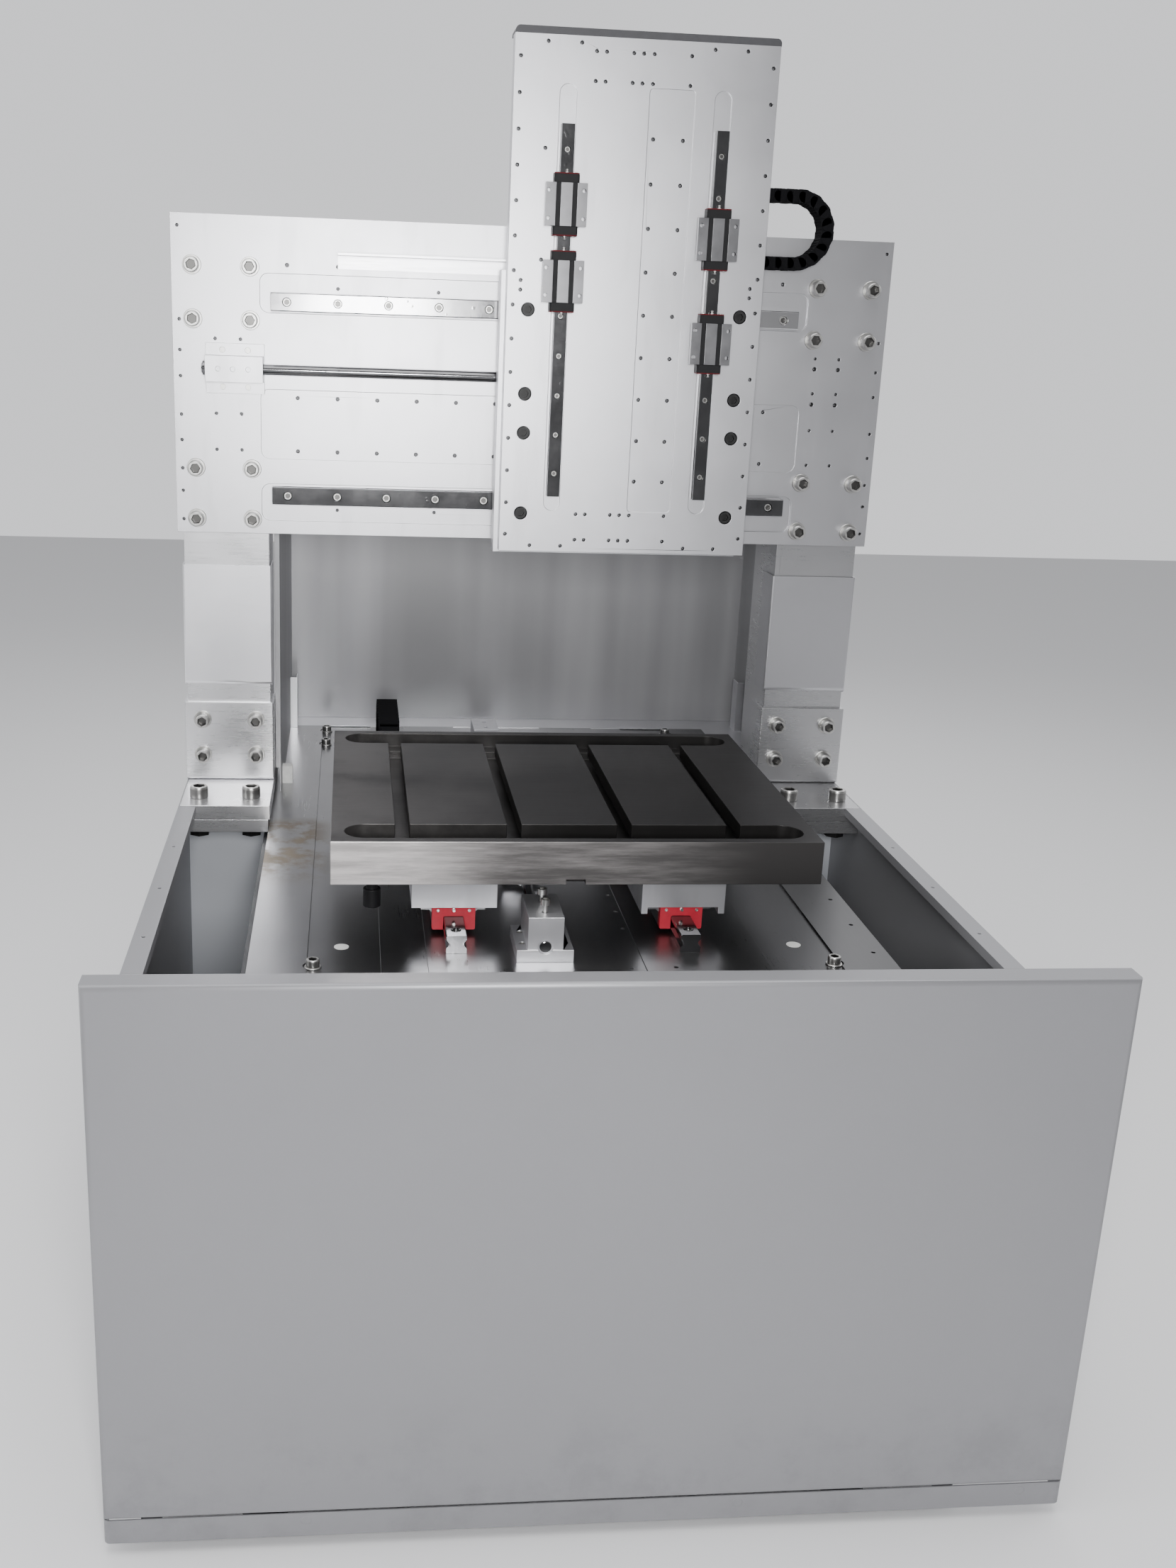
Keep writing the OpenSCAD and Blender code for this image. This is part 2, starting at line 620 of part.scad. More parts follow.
module beam_plate() {
    pl = gantry_x - x_rail_len / 2 - 18;
    pr = gantry_x + x_rail_len / 2 + 20;
    color("silver") difference() {
        slab([gantry_x - beam_half, beam_y, beam_z0], [gantry_x + beam_half, beam_y + beam_t, beam_z1]);
        face_pocket(pl, x_rail_z - 17, pr, x_rail_z + 43, beam_y, pocket_d, 14);
        face_pocket(pl, x_rail_z2 - 43, pr, x_rail_z2 + 17, beam_y, pocket_d, 14);
        face_pocket(pl, x_rail_z - 245, pr, x_rail_z - 135, beam_y, 1.5, 14);
        beam_bolt_places() translate([0, -1, 0]) rotate([-90, 0, 0]) cylinder(r = 8.75, h = beam_t + 2);
        for (z = [x_rail_z, x_rail_z2]) at_x_rail(z) rail_taps(x_rail_len, G30_pitch, G30_hole);
        for (i = [-5 : 5]) face_hole(gantry_x + 80 * i, x_rail_z + 56, beam_y, tap_r, 10);
        for (i = [-2 : 2]) {
            face_hole(gantry_x + 160 * i, x_rail_z + 23, beam_y, 2.5, 10);
            face_hole(gantry_x + 160 * i, x_rail_z2 - 24, beam_y, 2.5, 10);
        }
        for (i = [-6 : 6], z = [-147.5, -232]) face_hole(gantry_x + 64 * i, x_rail_z + z, beam_y, tap_r, 10);
        for (s = [-1, 1], z = [109, -31, -78, -118, -178, -218, -263, -299, -345])
            face_hole(gantry_x + s * (beam_half - 10.5), x_rail_z + z, beam_y, 2.5, 10);
        for (x = [-514, -474, 465, 505], z = [-59, -175, -232])
            face_hole(gantry_x + x, x_rail_z + z, beam_y, 2.5, 10);
        for (x = [465, 505]) face_hole(gantry_x + x, x_rail_z - 115, beam_y, 2.5, 10);
        support_places_x() translate([0, 0, -12]) cylinder(r = 3, h = 13);
        drive_places_x() translate([0, 0, -15]) cylinder(r = 3.4, h = 16);
    }
}

module beam_screws() color("silver") beam_bolt_places() rotate([90, 0, 0])
    cap_screw(m16_head, 16, 8, beam_t + col_wall + 12, 3);

module x_rail_upper() color("gainsboro") at_x_rail(x_rail_z) rail(G30, x_rail_len, G30_pitch, G30_hole);
module x_rail_lower() color("gainsboro") at_x_rail(x_rail_z2) rail(G30, x_rail_len, G30_pitch, G30_hole);

module y_rail_left() color("gainsboro") at_y_rail(-1) rail(G30, y_rail_len, G30_pitch, G30_hole);
module y_rail_right() color("gainsboro") at_y_rail(1) rail(G30, y_rail_len, G30_pitch, G30_hole);

module rail_screws() color("silver") {
    for (z = [x_rail_z, x_rail_z2]) at_x_rail(z) rail_bolts(G30, x_rail_len, G30_pitch, G30_hole);
    for (s = [-1, 1]) at_y_rail(s) rail_bolts(G30, y_rail_len, G30_pitch, G30_hole);
}

// screw support block lying on its flange, screw along X at screw_h, from x = 0 to l; lane = depth of a seat
module support(l, flange_t, body_w, body_h, top_holes, lane = 0) difference() {
    union() {
        slab([0, -sup_flange_w / 2, -lane], [l, sup_flange_w / 2, flange_t]);
        slab([1, -body_w / 2, -lane], [l - 1, body_w / 2, body_h]);
    }
    translate([-1, 0, screw_h]) rotate([0, 90, 0]) cylinder(r = screw_r + fit, h = l + 2);
    for (s = [-1, 1]) translate([s < 0 ? -1 : l - 2, 0, screw_h]) rotate([0, 90, 0])
        cylinder(r = screw_r + 2, h = 3);
    for (x = sup_hole_x, y = [-sup_hole_y, sup_hole_y]) translate([x, y, 0]) {
        translate([0, 0, -lane - 1]) cylinder(r = 3.3, h = flange_t + lane + 2);
        translate([0, 0, flange_t - sup_sink]) cylinder(r = sup_head / 2 + 0.2, h = sup_sink + 1);
    }
    for (x = top_holes) translate([x, 0, body_h - 8]) cylinder(r = 4, h = 9);
}

module x_screw_support() color("silver") translate([x_sup_x0, beam_y, x_screw_z]) rotate([90, 0, 0])
    support(sup_l, x_sup_t, x_sup_w, 45, [21, 44, 68]);

module support_places_y() for (y0 = [y_sup_front, y_sup_back], y = sup_hole_x, x = [-sup_hole_y, sup_hole_y])
    translate([y_screw_x + x, y0 + y, bed_top]) children();

module y_screw_support(y0) color("silver") translate([y_screw_x, y0, bed_top]) rotate([0, 0, 90])
    support(sup_l, y_sup_t, y_sup_w, y_sup_h, sup_lift_x, lane_d);
module y_screw_support_front() y_screw_support(y_sup_front);
module y_screw_support_rear() y_screw_support(y_sup_back);

module support_screws() color("silver") {
    support_places_x() translate([0, 0, x_sup_t - sup_sink]) cap_screw(sup_head, 5, 2.95, x_sup_t + 4);
    support_places_y() translate([0, 0, y_sup_t - sup_sink]) cap_screw(sup_head, 5, 2.95, y_sup_t + 3);
    // two screws left standing proud on the front block
    for (y = sup_lift_x) translate([y_screw_x, y_sup_front + y, bed_top + y_sup_h + sup_proud])
        cap_screw(13, 8, 3.2, sup_proud + 8);
}

module chain_shelf() color("silver") {
    x0 = gantry_x - 320;
    x1 = gantry_x + 330;
    slab([x0, beam_y - shelf_t, shelf_z - shelf_h], [x1, beam_y, shelf_z]);
    slab([x0, beam_y - shelf_d, shelf_z - shelf_t], [x1, beam_y - shelf_t, shelf_z]);
}

// ---------- cable chains ----------
xc_z = shelf_z + chain_gap + chain_t / 2 + chain_r;
yc_z = bed_top + chain_gap + chain_t / 2 + chain_r;

module x_chain_lower() color("black") {
    translate([xc_loop - 180, xc_y, xc_z - chain_r]) chain_bar(-xc_tail, -1);
    slab([xc_loop - 180 - xc_tail - 22, xc_y - chain_w / 2, shelf_z],
        [xc_loop - 180 - xc_tail - 1, xc_y + chain_w / 2 - 1, shelf_z + 22]);
    slab([xc_loop - 180 - xc_tail - 2, xc_y - 12, xc_z - chain_r - 5],
        [xc_loop - 180 - xc_tail + 1, xc_y + 12, xc_z - chain_r + 5]);
}
module x_chain_loop() color("black") translate([xc_loop, xc_y, xc_z]) chain_loop(xc_tail);
module x_chain_upper() color("black") {
    translate([xc_loop - 40, xc_y, xc_z + chain_r]) chain_bar(-xc_tail, -1);
    xb = xc_loop - 40 - xc_tail;
    slab([xb - 22, saddle_y0, xc_z + chain_r - 12], [xb - 1, xc_y + chain_w / 2 - 1, xc_z + chain_r + 10]);
    slab([xb - 2, xc_y - 12, xc_z + chain_r - 5], [xb + 1, xc_y + 12, xc_z + chain_r + 5]);
}
module y_chain_lower() color("black") {
    yb = yc_loop - 20 - yc_tail;
    translate([yc_x, yc_loop - 20, yc_z - chain_r]) rotate([0, 0, 90]) chain_bar(-yc_tail, -1);
    slab([yc_x - chain_w / 2, yb - 30, bed_top - lane_d], [yc_x + chain_w / 2, yb - 1, bed_top + 22]);
    slab([yc_x - 12, yb - 2, yc_z - chain_r - 5], [yc_x + 12, yb + 1, yc_z - chain_r + 5]);
}
module y_chain_loop() color("black") translate([yc_x, yc_loop, yc_z]) rotate([0, 0, 90]) chain_loop(yc_tail);
module y_chain_upper() color("black") {
    yb = yc_loop - 160 - yc_tail;
    translate([yc_x, yc_loop - 160, yc_z + chain_r]) rotate([0, 0, 90]) chain_bar(-yc_tail, -1);
    slab([yc_x - chain_w / 2, table_y1, yc_z + chain_r - 10],
        [yc_x + chain_w / 2, yb - 1, yc_z + chain_r + 10]);
    slab([yc_x - 12, yb - 2, yc_z + chain_r - 5], [yc_x + 12, yb + 1, yc_z + chain_r + 5]);
}

// ---------- X carriage and Z plate ----------
saddle_bolt_dx = 167.5;
saddle_bolt_z = [2, -125, -185, -311];
module saddle_bolt_places() for (s = [-1, 1], z = saddle_bolt_z)
    translate([car_x + s * saddle_bolt_dx, zp_y0, x_rail_z + z]) rotate([90, 0, 0]) children();

module z_plate() {
    hx = zp_w / 2;
    color("silver") difference() {
        slab([car_x - hx, zp_y0, zp_z0], [car_x + hx, zp_y0 + zp_t, zp_z1]);
        // rail grooves with round ends
        for (s = [-1, 1]) face_pocket(car_x + s * z_rail_gap / 2 - 13, zp_z0 + 66,
            car_x + s * z_rail_gap / 2 + 13, zp_z1 - 66, zp_y0, z_groove, 12.9);
        face_pocket(car_x + 5, zp_z0 + 67, car_x + 75, zp_z1 - 67, zp_y0, 1.2, 6);
        for (s = [-1, 1]) at_z_rail(s) rail_taps(z_rail_len, G20_pitch, G20_hole);
        saddle_bolt_places() {
            translate([0, 0, -13]) cylinder(r = 10.5, h = 14);
            translate([0, 0, -zp_t - 1]) cylinder(r = 6.6, h = zp_t);
        }
        for (x = [14, 60], i = [-4 : 4]) face_hole(car_x + x, x_rail_z - 1 + 64 * i, zp_y0, tap_r, 12);
        for (s = [-1, 1]) {
            for (i = [0 : 14]) face_hole(car_x + s * (hx - 9.5), zp_z1 - 31 - 50.5 * i, zp_y0, 2.8, 12);
            for (x = [101, 151], z = [zp_z0 + 9.5, zp_z1 - 9.5]) face_hole(car_x + s * x, z, zp_y0, 2.8, 12);
            for (z = [31, 45]) face_hole(car_x + s * (hx - 20.5), x_rail_z + z, zp_y0, 2.8, 12);
        }
        for (x = [-78, -63, -22, -7, 9, 66], z = [zp_z0 + 20, zp_z0 + 61, zp_z1 - 61, zp_z1 - 20])
            face_hole(car_x + x, z, zp_y0, 2.8, 12);
        for (z = [76, 236]) face_hole(car_x - 150, x_rail_z + z, zp_y0, 2.8, 12);
    }
}

module saddle_plate() color("silver") difference() {
    slab([car_x - zp_w / 2 - 7, saddle_y0, zp_z0 - 6], [car_x + zp_w / 2 - 7, saddle_y1, x_rail_z + 60]);
    saddle_bolt_places() translate([0, 0, -zp_t - 21]) cylinder(r = 6, h = 22);
    for (s = [-1, 1], z = [x_rail_z, x_rail_z2], x = [-1, 1], y = [-1, 1])
        translate([car_x + s * block_s + x * 26, saddle_y0 - 1, z + y * 36]) rotate([-90, 0, 0])
            cylinder(r = 5.2, h = saddle_t + 2);
}

module z_top_plate() color("dimgray") translate([car_x + 1, zp_y0 + 2, zp_z1]) rotate([-90, 0, 0])
    linear_extrude(zp_t + saddle_t - 4) mirror([0, 1]) intersection() {
        translate([-zp_w / 2, 0]) square([zp_w, top_plate_t]);
        union() {
            translate([-zp_w / 2, -top_plate_t]) square([zp_w, 2 * top_plate_t - top_plate_r]);
            translate([-zp_w / 2 + top_plate_r, 0]) square([zp_w - 2 * top_plate_r, top_plate_t]);
            for (s = [-1, 1]) translate([s * (zp_w / 2 - top_plate_r), top_plate_t - top_plate_r])
                circle(top_plate_r);
        }
    }

module x_blocks() color("gray") for (s = [-1, 1], z = [x_rail_z, x_rail_z2])
    at_x_rail(z) translate([x_rest + s * block_s, 0, 0]) guide_block(G30, 52, 72, 4.5);

// ball nut in its housing, screw along X
module x_ball_nut() {
    translate([car_x, x_screw_y, x_screw_z]) {
        color("silver") difference() {
            slab([-35, -(x_screw_y - saddle_y1), -30], [35, 17, 30]);
            translate([-36, 0, 0]) rotate([0, 90, 0]) cylinder(r = 14, h = 72);
        }
        color("gray") difference() {
            translate([-44, 0, 0]) rotate([0, 90, 0]) union() {
                cylinder(r = 14, h = 74);
                cylinder(r = 16.5, h = 9);
            }
            translate([-45, 0, 0]) rotate([0, 90, 0]) cylinder(r = screw_r + fit, h = 80);
        }
    }
}

module z_rails() color("gainsboro") for (s = [-1, 1])
    at_z_rail(s) rail(G20, z_rail_len, G20_pitch, G20_hole);
module z_rail_screws() color("silver") for (s = [-1, 1])
    at_z_rail(s) rail_bolts(G20, z_rail_len, G20_pitch, G20_hole);
module saddle_screws() color("black") saddle_bolt_places() translate([0, 0, -13])
    cap_screw(18, 12, 5.95, zp_t + 5);

// z = height of the block centre above the upper X rail
module z_block(s, z) color("dimgray") at_z_rail(s)
    translate([x_rail_z + z - z_rail_z0 - z_rail_len / 2, 0, 0]) guide_block(G20, 40, 53, 3);
module z_block_left_upper() z_block(-1, 155.5);
module z_block_left_lower() z_block(-1, 44.5);
module z_block_right_upper() z_block(1, 114);
module z_block_right_lower() z_block(1, -40);

// ---------- table ----------
module t_slot_table() {
    gy = 17;
    color("dimgray") difference() {
        slab([table_x - table_w / 2, table_y0, table_z0], [table_x + table_w / 2, table_y1, table_z1]);
        // cross gutters with round ends, front and rear
        for (y = [table_y0 + gy + gutter_w / 2, table_y1 - gy - gutter_w / 2])
            translate([table_x, y, table_z1 - 22]) linear_extrude(23)
                rrect(table_w - 36, gutter_w, gutter_w / 2 - 0.1);
        for (i = slots) translate([table_x + slot_shift + i * slot_pitch, 0, 0]) {
            slab([-slot_w / 2, table_y0 + gy + gutter_w / 2, table_z1 - 30],
                [slot_w / 2, table_y1 - gy - gutter_w / 2, table_z1 + 1]);
            slab([-slot_w / 2 - 8, table_y0 + gy + gutter_w / 2, table_z1 - 34],
                [slot_w / 2 + 8, table_y1 - gy - gutter_w / 2, table_z1 - 20]);
        }
        // locating notch in the front edge
        slab([table_x - 18, table_y0 - 1, table_z0 - 1], [table_x + 8, table_y0 + 12, table_z0 + 7]);
    }
}

module y_block_places() for (s = [-1, 1], t = [-1, 1])
    translate([bed_x + s * y_rail_gap / 2, block_ym + t * y_block_s, bed_top]) rotate([0, 0, 90]) {
        $side = s;
        children();
    }

// packing blocks between the guide blocks and the table; the right pair has lips that locate the blocks
module table_spacers() color("lightgray") y_block_places() {
    slab([-58, -59, G30[2]], [58, 59, table_lift]);
    if ($side > 0) for (t = [-1, 1])
        slab([-58, min(t * 50, t * 59), G30[2] - 9.5], [58, max(t * 50, t * 59), G30[2] + 1]);
}

module table_bumper() color("black") translate([table_x - 276, table_y0 + 70, table_z0]) {
    translate([0, 0, -40]) cylinder(r = 8, h = 40);
    translate([0, 0, -56]) cylinder(r = 12, h = 26);
}

module y_blocks() color("gray") y_block_places() block_steel(G30, 52, 72, 4.5);
module y_block_end_caps() color("crimson") y_block_places() block_caps(G30);

module y_ball_nut() translate([y_screw_x, table_ym, y_screw_z]) rotate([0, 0, 90]) {
    color("silver") difference() {
        slab([-32, -30, -14.5], [32, 30, table_z0 - y_screw_z]);
        translate([-33, 0, 0]) rotate([0, 90, 0]) cylinder(r = 13, h = 66);
    }
    color("gray") difference() {
        translate([-41, 0, 0]) rotate([0, 90, 0]) union() {
            cylinder(r = 13, h = 70);
            cylinder(r = 15.5, h = 9);
        }
        translate([-42, 0, 0]) rotate([0, 90, 0]) cylinder(r = screw_r + fit, h = 76);
    }
}

// ---------- screws ----------
module x_screw() {
    color("silver") translate([x_sup_x0 - 6, x_screw_y, x_screw_z]) rotate([0, 90, 0])
        cylinder(r = screw_r, h = x_screw_end - x_sup_x0 + 6);
    color("black") translate([x_sup_x0 - 4.3, x_screw_y, x_screw_z]) rotate([0, 90, 0]) difference() {
        cylinder(r = 11, h = 4);
        translate([0, 0, -1]) cylinder(r = screw_r, h = 6);
    }
}
module y_screw() color("silver") translate([y_screw_x, y_sup_front + 0.5, y_screw_z]) rotate([-90, 0, 0])
    cylinder(r = screw_r, h = y_sup_back + sup_l + 28 - y_sup_front);

front_panel();
plinth_strip();
side_panel_left();
side_panel_right();
lower_rear_panel();
well_rear_panels();
rear_wall();
rear_side_wall_left();
rear_side_wall_right();
rear_floor_sheet();
base_frame();
levelling_feet();
base_plate();
base_plate_screws();
base_plate_plugs();
column_left();
column_right();
column_shrouds();
column_brackets();
column_screws();
foot_plates();
foot_nuts();
beam_plate();
beam_screws();
x_rail_upper();
x_rail_lower();
rail_screws();
x_screw_support();
support_screws();
chain_shelf();
x_chain_lower();
y_rail_left();
y_rail_right();
y_screw_support_front();
y_screw_support_rear();
y_chain_lower();
z_plate();
saddle_plate();
z_top_plate();
x_blocks();
x_ball_nut();
z_rails();
z_rail_screws();
saddle_screws();
x_chain_upper();
z_block_left_upper();
z_block_left_lower();
z_block_right_upper();
z_block_right_lower();
t_slot_table();
table_spacers();
table_bumper();
y_blocks();
y_block_end_caps();
y_ball_nut();
y_chain_upper();
x_screw();
y_screw();
x_chain_loop();
y_chain_loop();
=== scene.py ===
import json
import math

import bmesh
import bpy
from mathutils import Matrix, Vector


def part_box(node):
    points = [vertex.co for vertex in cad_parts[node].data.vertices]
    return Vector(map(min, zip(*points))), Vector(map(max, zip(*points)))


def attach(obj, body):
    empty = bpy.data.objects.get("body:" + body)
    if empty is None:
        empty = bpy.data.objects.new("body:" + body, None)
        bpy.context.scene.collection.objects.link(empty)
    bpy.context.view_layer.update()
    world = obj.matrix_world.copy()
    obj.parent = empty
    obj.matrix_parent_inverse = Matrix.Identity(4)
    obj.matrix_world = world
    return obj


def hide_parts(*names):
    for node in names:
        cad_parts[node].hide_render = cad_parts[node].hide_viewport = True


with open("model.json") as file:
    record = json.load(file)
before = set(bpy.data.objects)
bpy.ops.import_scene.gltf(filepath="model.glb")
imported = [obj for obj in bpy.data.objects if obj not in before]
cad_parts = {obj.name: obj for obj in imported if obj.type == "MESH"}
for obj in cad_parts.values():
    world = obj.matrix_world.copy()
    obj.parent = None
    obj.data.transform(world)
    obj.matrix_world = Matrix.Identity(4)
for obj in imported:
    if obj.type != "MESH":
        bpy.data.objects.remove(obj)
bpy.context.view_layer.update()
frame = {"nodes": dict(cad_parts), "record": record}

bl_info = {
    "name": "CNC Router Looks",
    "version": (1, 0, 0),
    "blender": (4, 5, 0),
    "location": "3D Viewport > Sidebar > Router",
    "description": "Finishes, fasteners, guides, screws and cable chains of a moving-table CNC router",
    "category": "Object",
}

MM = 0.001


# ---------------------------------------------------------------- shader maths
class Val:
    """A number socket that takes part in Python expressions."""

    def __init__(self, mat, socket):
        self.mat = mat
        self.socket = socket

    def _math(self, operation, *others):
        values = [o.socket if isinstance(o, Val) else o for o in (self, *others)]
        return Val(self.mat, self.mat.node(
            "ShaderNodeMath", {"operation": operation}, dict(enumerate(values)))[0])

    def __add__(self, other):
        return self._math("ADD", other)

    def __sub__(self, other):
        return self._math("SUBTRACT", other)

    def __mul__(self, other):
        return self._math("MULTIPLY", other)

    def __truediv__(self, other):
        return self._math("DIVIDE", other)

    def __pow__(self, other):
        return self._math("POWER", other)

    def __radd__(self, other):
        return self._math("ADD", other)

    def __rmul__(self, other):
        return self._math("MULTIPLY", other)

    def __rsub__(self, other):
        return self._math("MULTIPLY_ADD", -1.0, other)

    def __gt__(self, other):
        return self._math("GREATER_THAN", other)

    def __lt__(self, other):
        return self._math("LESS_THAN", other)

    def abs(self):
        return self._math("ABSOLUTE")

    def ramp(self, low, high, to_low=0.0, to_high=1.0):
        """Smooth step from to_low at low to to_high at high."""
        return Val(self.mat, self.mat.node(
            "ShaderNodeMapRange", {"interpolation_type": "SMOOTHSTEP"},
            {"Value": self, "From Min": low, "From Max": high, "To Min": to_low, "To Max": to_high})[0])


class Finish:
    """One material on Object coordinates, built from a few expressions."""

    def __init__(self, name, **constants):
        self.material = bpy.data.materials.new(name)
        self.material.use_nodes = True
        self.tree = self.material.node_tree
        self.shader = self.tree.nodes["Principled BSDF"]
        self.place = self.node("ShaderNodeTexCoord", {}, {})["Object"]
        parts = self.node("ShaderNodeSeparateXYZ", {}, {"Vector": self.place})
        self.x, self.y, self.z = (Val(self, parts[i]) for i in range(3))
        self.bumps = []
        for socket, value in constants.items():
            self.shader.inputs[socket.replace("_", " ")].default_value = value

    def node(self, kind, settings, inputs):
        """Any node: its type, its settings, then the values or links of its sockets."""
        node = self.tree.nodes.new(kind)
        for key, value in settings.items():
            setattr(node, key, value)
        for key, value in inputs.items():
            socket = node.inputs[key]
            value = value.socket if isinstance(value, Val) else value
            if isinstance(value, bpy.types.NodeSocket):
                self.tree.links.new(value, socket)
            else:
                socket.default_value = value
        return node.outputs

    def stretched(self, scale):
        """Object coordinates scaled along each axis, for brushed and milled lines."""
        return self.node("ShaderNodeMapping", {}, {"Vector": self.place, "Scale": scale})[0]

    def noise(self, scale, detail=3.0, rough=0.55, where=None):
        return Val(self, self.node("ShaderNodeTexNoise", {}, {
            "Vector": where or self.place, "Scale": scale, "Detail": detail, "Roughness": rough})[0])

    def cells(self, scale, where=None):
        return Val(self, self.node("ShaderNodeTexVoronoi", {}, {
            "Vector": where or self.place, "Scale": scale})[0])

    def mix(self, factor, a, b):
        """Colour a where factor is 0, b where it is 1."""
        out = self.node("ShaderNodeMix", {"data_type": "RGBA"}, {
            0: factor, 6: a if not isinstance(a, tuple) else (*a, 1.0),
            7: b if not isinstance(b, tuple) else (*b, 1.0)})
        return out[2]

    def bump(self, height, depth, strength=1.0):
        self.bumps.append((height, depth, strength))

    def spot(self, x, z, radius, soft=0.3):
        """1 inside a round mark on a face that looks along Y, falling to 0 at its edge."""
        distance = ((self.x - x) ** 2.0 + (self.z - z) ** 2.0) ** 0.5
        return distance.ramp(radius * (1.0 - soft), radius, 1.0, 0.0)

    def done(self, **links):
        normal = None
        for height, depth, strength in self.bumps:
            inputs = {"Height": height, "Distance": depth, "Strength": strength}
            if normal is not None:
                inputs["Normal"] = normal
            normal = self.node("ShaderNodeBump", {}, inputs)["Normal"]
        if normal is not None:
            self.tree.links.new(normal, self.shader.inputs["Normal"])
        for key, value in links.items():
            socket = self.shader.inputs[key.replace("_", " ")]
            value = value.socket if isinstance(value, Val) else value
            if isinstance(value, tuple):
                socket.default_value = (*value, 1.0) if len(value) == 3 else value
            elif isinstance(value, (int, float)):
                socket.default_value = value
            else:
                self.tree.links.new(value, socket)
        return self.material


# ---------------------------------------------------------------- finishes
def scaled(colour, factor):
    return tuple(min(1.0, c * factor) for c in colour)


def panel_paint(colours):
    """Silver-grey powder coat: fine orange peel, cloudy sheen, weld marks and shallow dents low down."""
    f = Finish("panel_paint", IOR=1.5)
    cloud = f.noise(2.6, 4.0, 0.6)
    speck = f.noise(1400.0, 2.0)
    low = f.z.ramp(0.05, 0.30, 1.0, 0.0)
    # noisy patches that make the coat darker and rougher towards the bottom
    low_patches = (f.noise(9.0, 6.0, 0.7) - 0.45).ramp(0.0, 0.25) * low
    base = tuple(colours.panel)
    colour = f.mix(cloud, scaled(base, 0.94), scaled(base, 1.06))
    colour = f.mix(speck.ramp(0.62, 0.75) * 0.35, colour, scaled(base, 1.5))
    colour = f.mix(low_patches * 0.35, colour, scaled(base, 0.72))
    marks = f.spot(-0.40, 0.045, 0.008) + f.spot(0.198, 0.045, 0.008) + f.spot(0.608, 0.045, 0.008)
    dents = f.noise(7.0, 2.0) * f.x.ramp(-0.62, -0.20, 1.0, 0.0) * f.z.ramp(0.06, 0.28, 1.0, 0.0)
    f.bump(dents, 0.004, 0.5)
    f.bump(marks, 0.0006, 0.8)
    f.bump(f.noise(620.0, 2.0), 0.00006, 0.35)
    return f.done(Base_Color=colour, Metallic=0.45, Roughness=0.38 + cloud * 0.12 + low_patches * 0.1)


def well_paint(colours):
    f = Finish("well_paint")
    cloud = f.noise(3.0, 4.0)
    colour = f.mix(cloud, (0.50, 0.52, 0.56), (0.62, 0.64, 0.68))
    f.bump(f.noise(500.0), 0.00008, 0.3)
    return f.done(Base_Color=colour, Metallic=0.2, Roughness=0.45 + cloud * 0.15)


def guard_paint(colours):
    """Dark satin coat of the rear guard, with soft upright bands of painted highlight and wiped marks."""
    f = Finish("guard_paint")
    highlight_bands = f.noise(1.0, 3.0, 0.5, f.stretched((6.0, 6.0, 0.4)))
    wipe = f.noise(5.0, 5.0, 0.6)
    base = tuple(colours.guard)
    # painted highlight and shade: soft upright bands lighten and darken the coat
    colour = f.mix(highlight_bands.ramp(0.35, 0.65), scaled(base, 0.82), scaled(base, 1.2))
    f.bump(f.noise(700.0), 0.00006, 0.3)
    return f.done(Base_Color=colour, Metallic=0.6, Roughness=0.30 + highlight_bands * 0.12 + wipe * 0.10)


def zinc_sheet(colours):
    f = Finish("zinc_sheet")
    grain = f.noise(1.0, 4.0, 0.6, f.stretched((30.0, 30.0, 420.0)))
    cloud = f.noise(6.0, 4.0)
    colour = f.mix(cloud, (0.84, 0.84, 0.87), (0.94, 0.94, 0.97))
    # painted shade: the sheet darkens towards +X, as the light falls off to the right
    colour = f.mix(f.x.ramp(-0.1, 0.3), colour, (0.50, 0.50, 0.52))
    f.bump(grain, 0.00006, 0.4)
    return f.done(Base_Color=colour, Metallic=0.85, Roughness=0.25 + grain * 0.10 + cloud * 0.1)


def frame_paint(colours):
    # near-black coat as painted shade: it stands for the shadowed strip under the bed plate's edge
    f = Finish("frame_paint")
    cloud = f.noise(14.0, 4.0)
    f.bump(f.noise(300.0), 0.0001, 0.4)
    return f.done(Base_Color=f.mix(cloud, (0.035, 0.035, 0.04), (0.06, 0.06, 0.065)),
                  Metallic=0.1, Roughness=0.45 + cloud * 0.2)


def ground_steel(colours):
    """Ground bed plate: lines along Y, smears, painted shade and reflection that darken it to the right and
    front, a painted highlight along the middle, and oil left of the table.
    """
    f = Finish("ground_steel")
    lines = f.noise(1.0, 5.0, 0.65, f.stretched((520.0, 9.0, 1.0)))
    smear = f.noise(4.0, 6.0, 0.62)
    wave = f.noise(7.0, 2.0)
    oil = f.x.ramp(-0.36, -0.42, 0.0, 1.0)
    oil = oil * f.y.ramp(0.05, 0.0, 0.0, 1.0) * f.y.ramp(-0.30, -0.18, 0.0, 1.0)
    oil = oil * (f.noise(11.0, 6.0, 0.7) - 0.40).ramp(0.0, 0.15)
    base = tuple(colours.steel)
    colour = f.mix(smear, scaled(base, 0.66), scaled(base, 0.96))
    # painted shade and reflection: the bed darkens towards +X
    colour = f.mix(f.x.ramp(0.04, 0.42), colour, scaled(base, 0.24))
    # painted shade: the bed darkens towards the front
    colour = f.mix(f.y.ramp(-0.52, -0.36, 0.45, 0.0), colour, scaled(base, 0.35))
    # painted highlight along the middle of the bed, around x = -0.043
    colour = f.mix((f.x + 0.043).abs().ramp(0.05, 0.14, 0.6, 0.0), colour, scaled(base, 1.5))
    colour = f.mix(oil * 0.7, colour, (0.26, 0.20, 0.12))
    f.bump(lines, 0.00003, 0.4)
    f.bump(wave, 0.0006, 0.10)
    return f.done(Base_Color=colour, Metallic=1.0,
                  Roughness=0.19 + lines * 0.08 + smear * 0.14 + oil * 0.2)


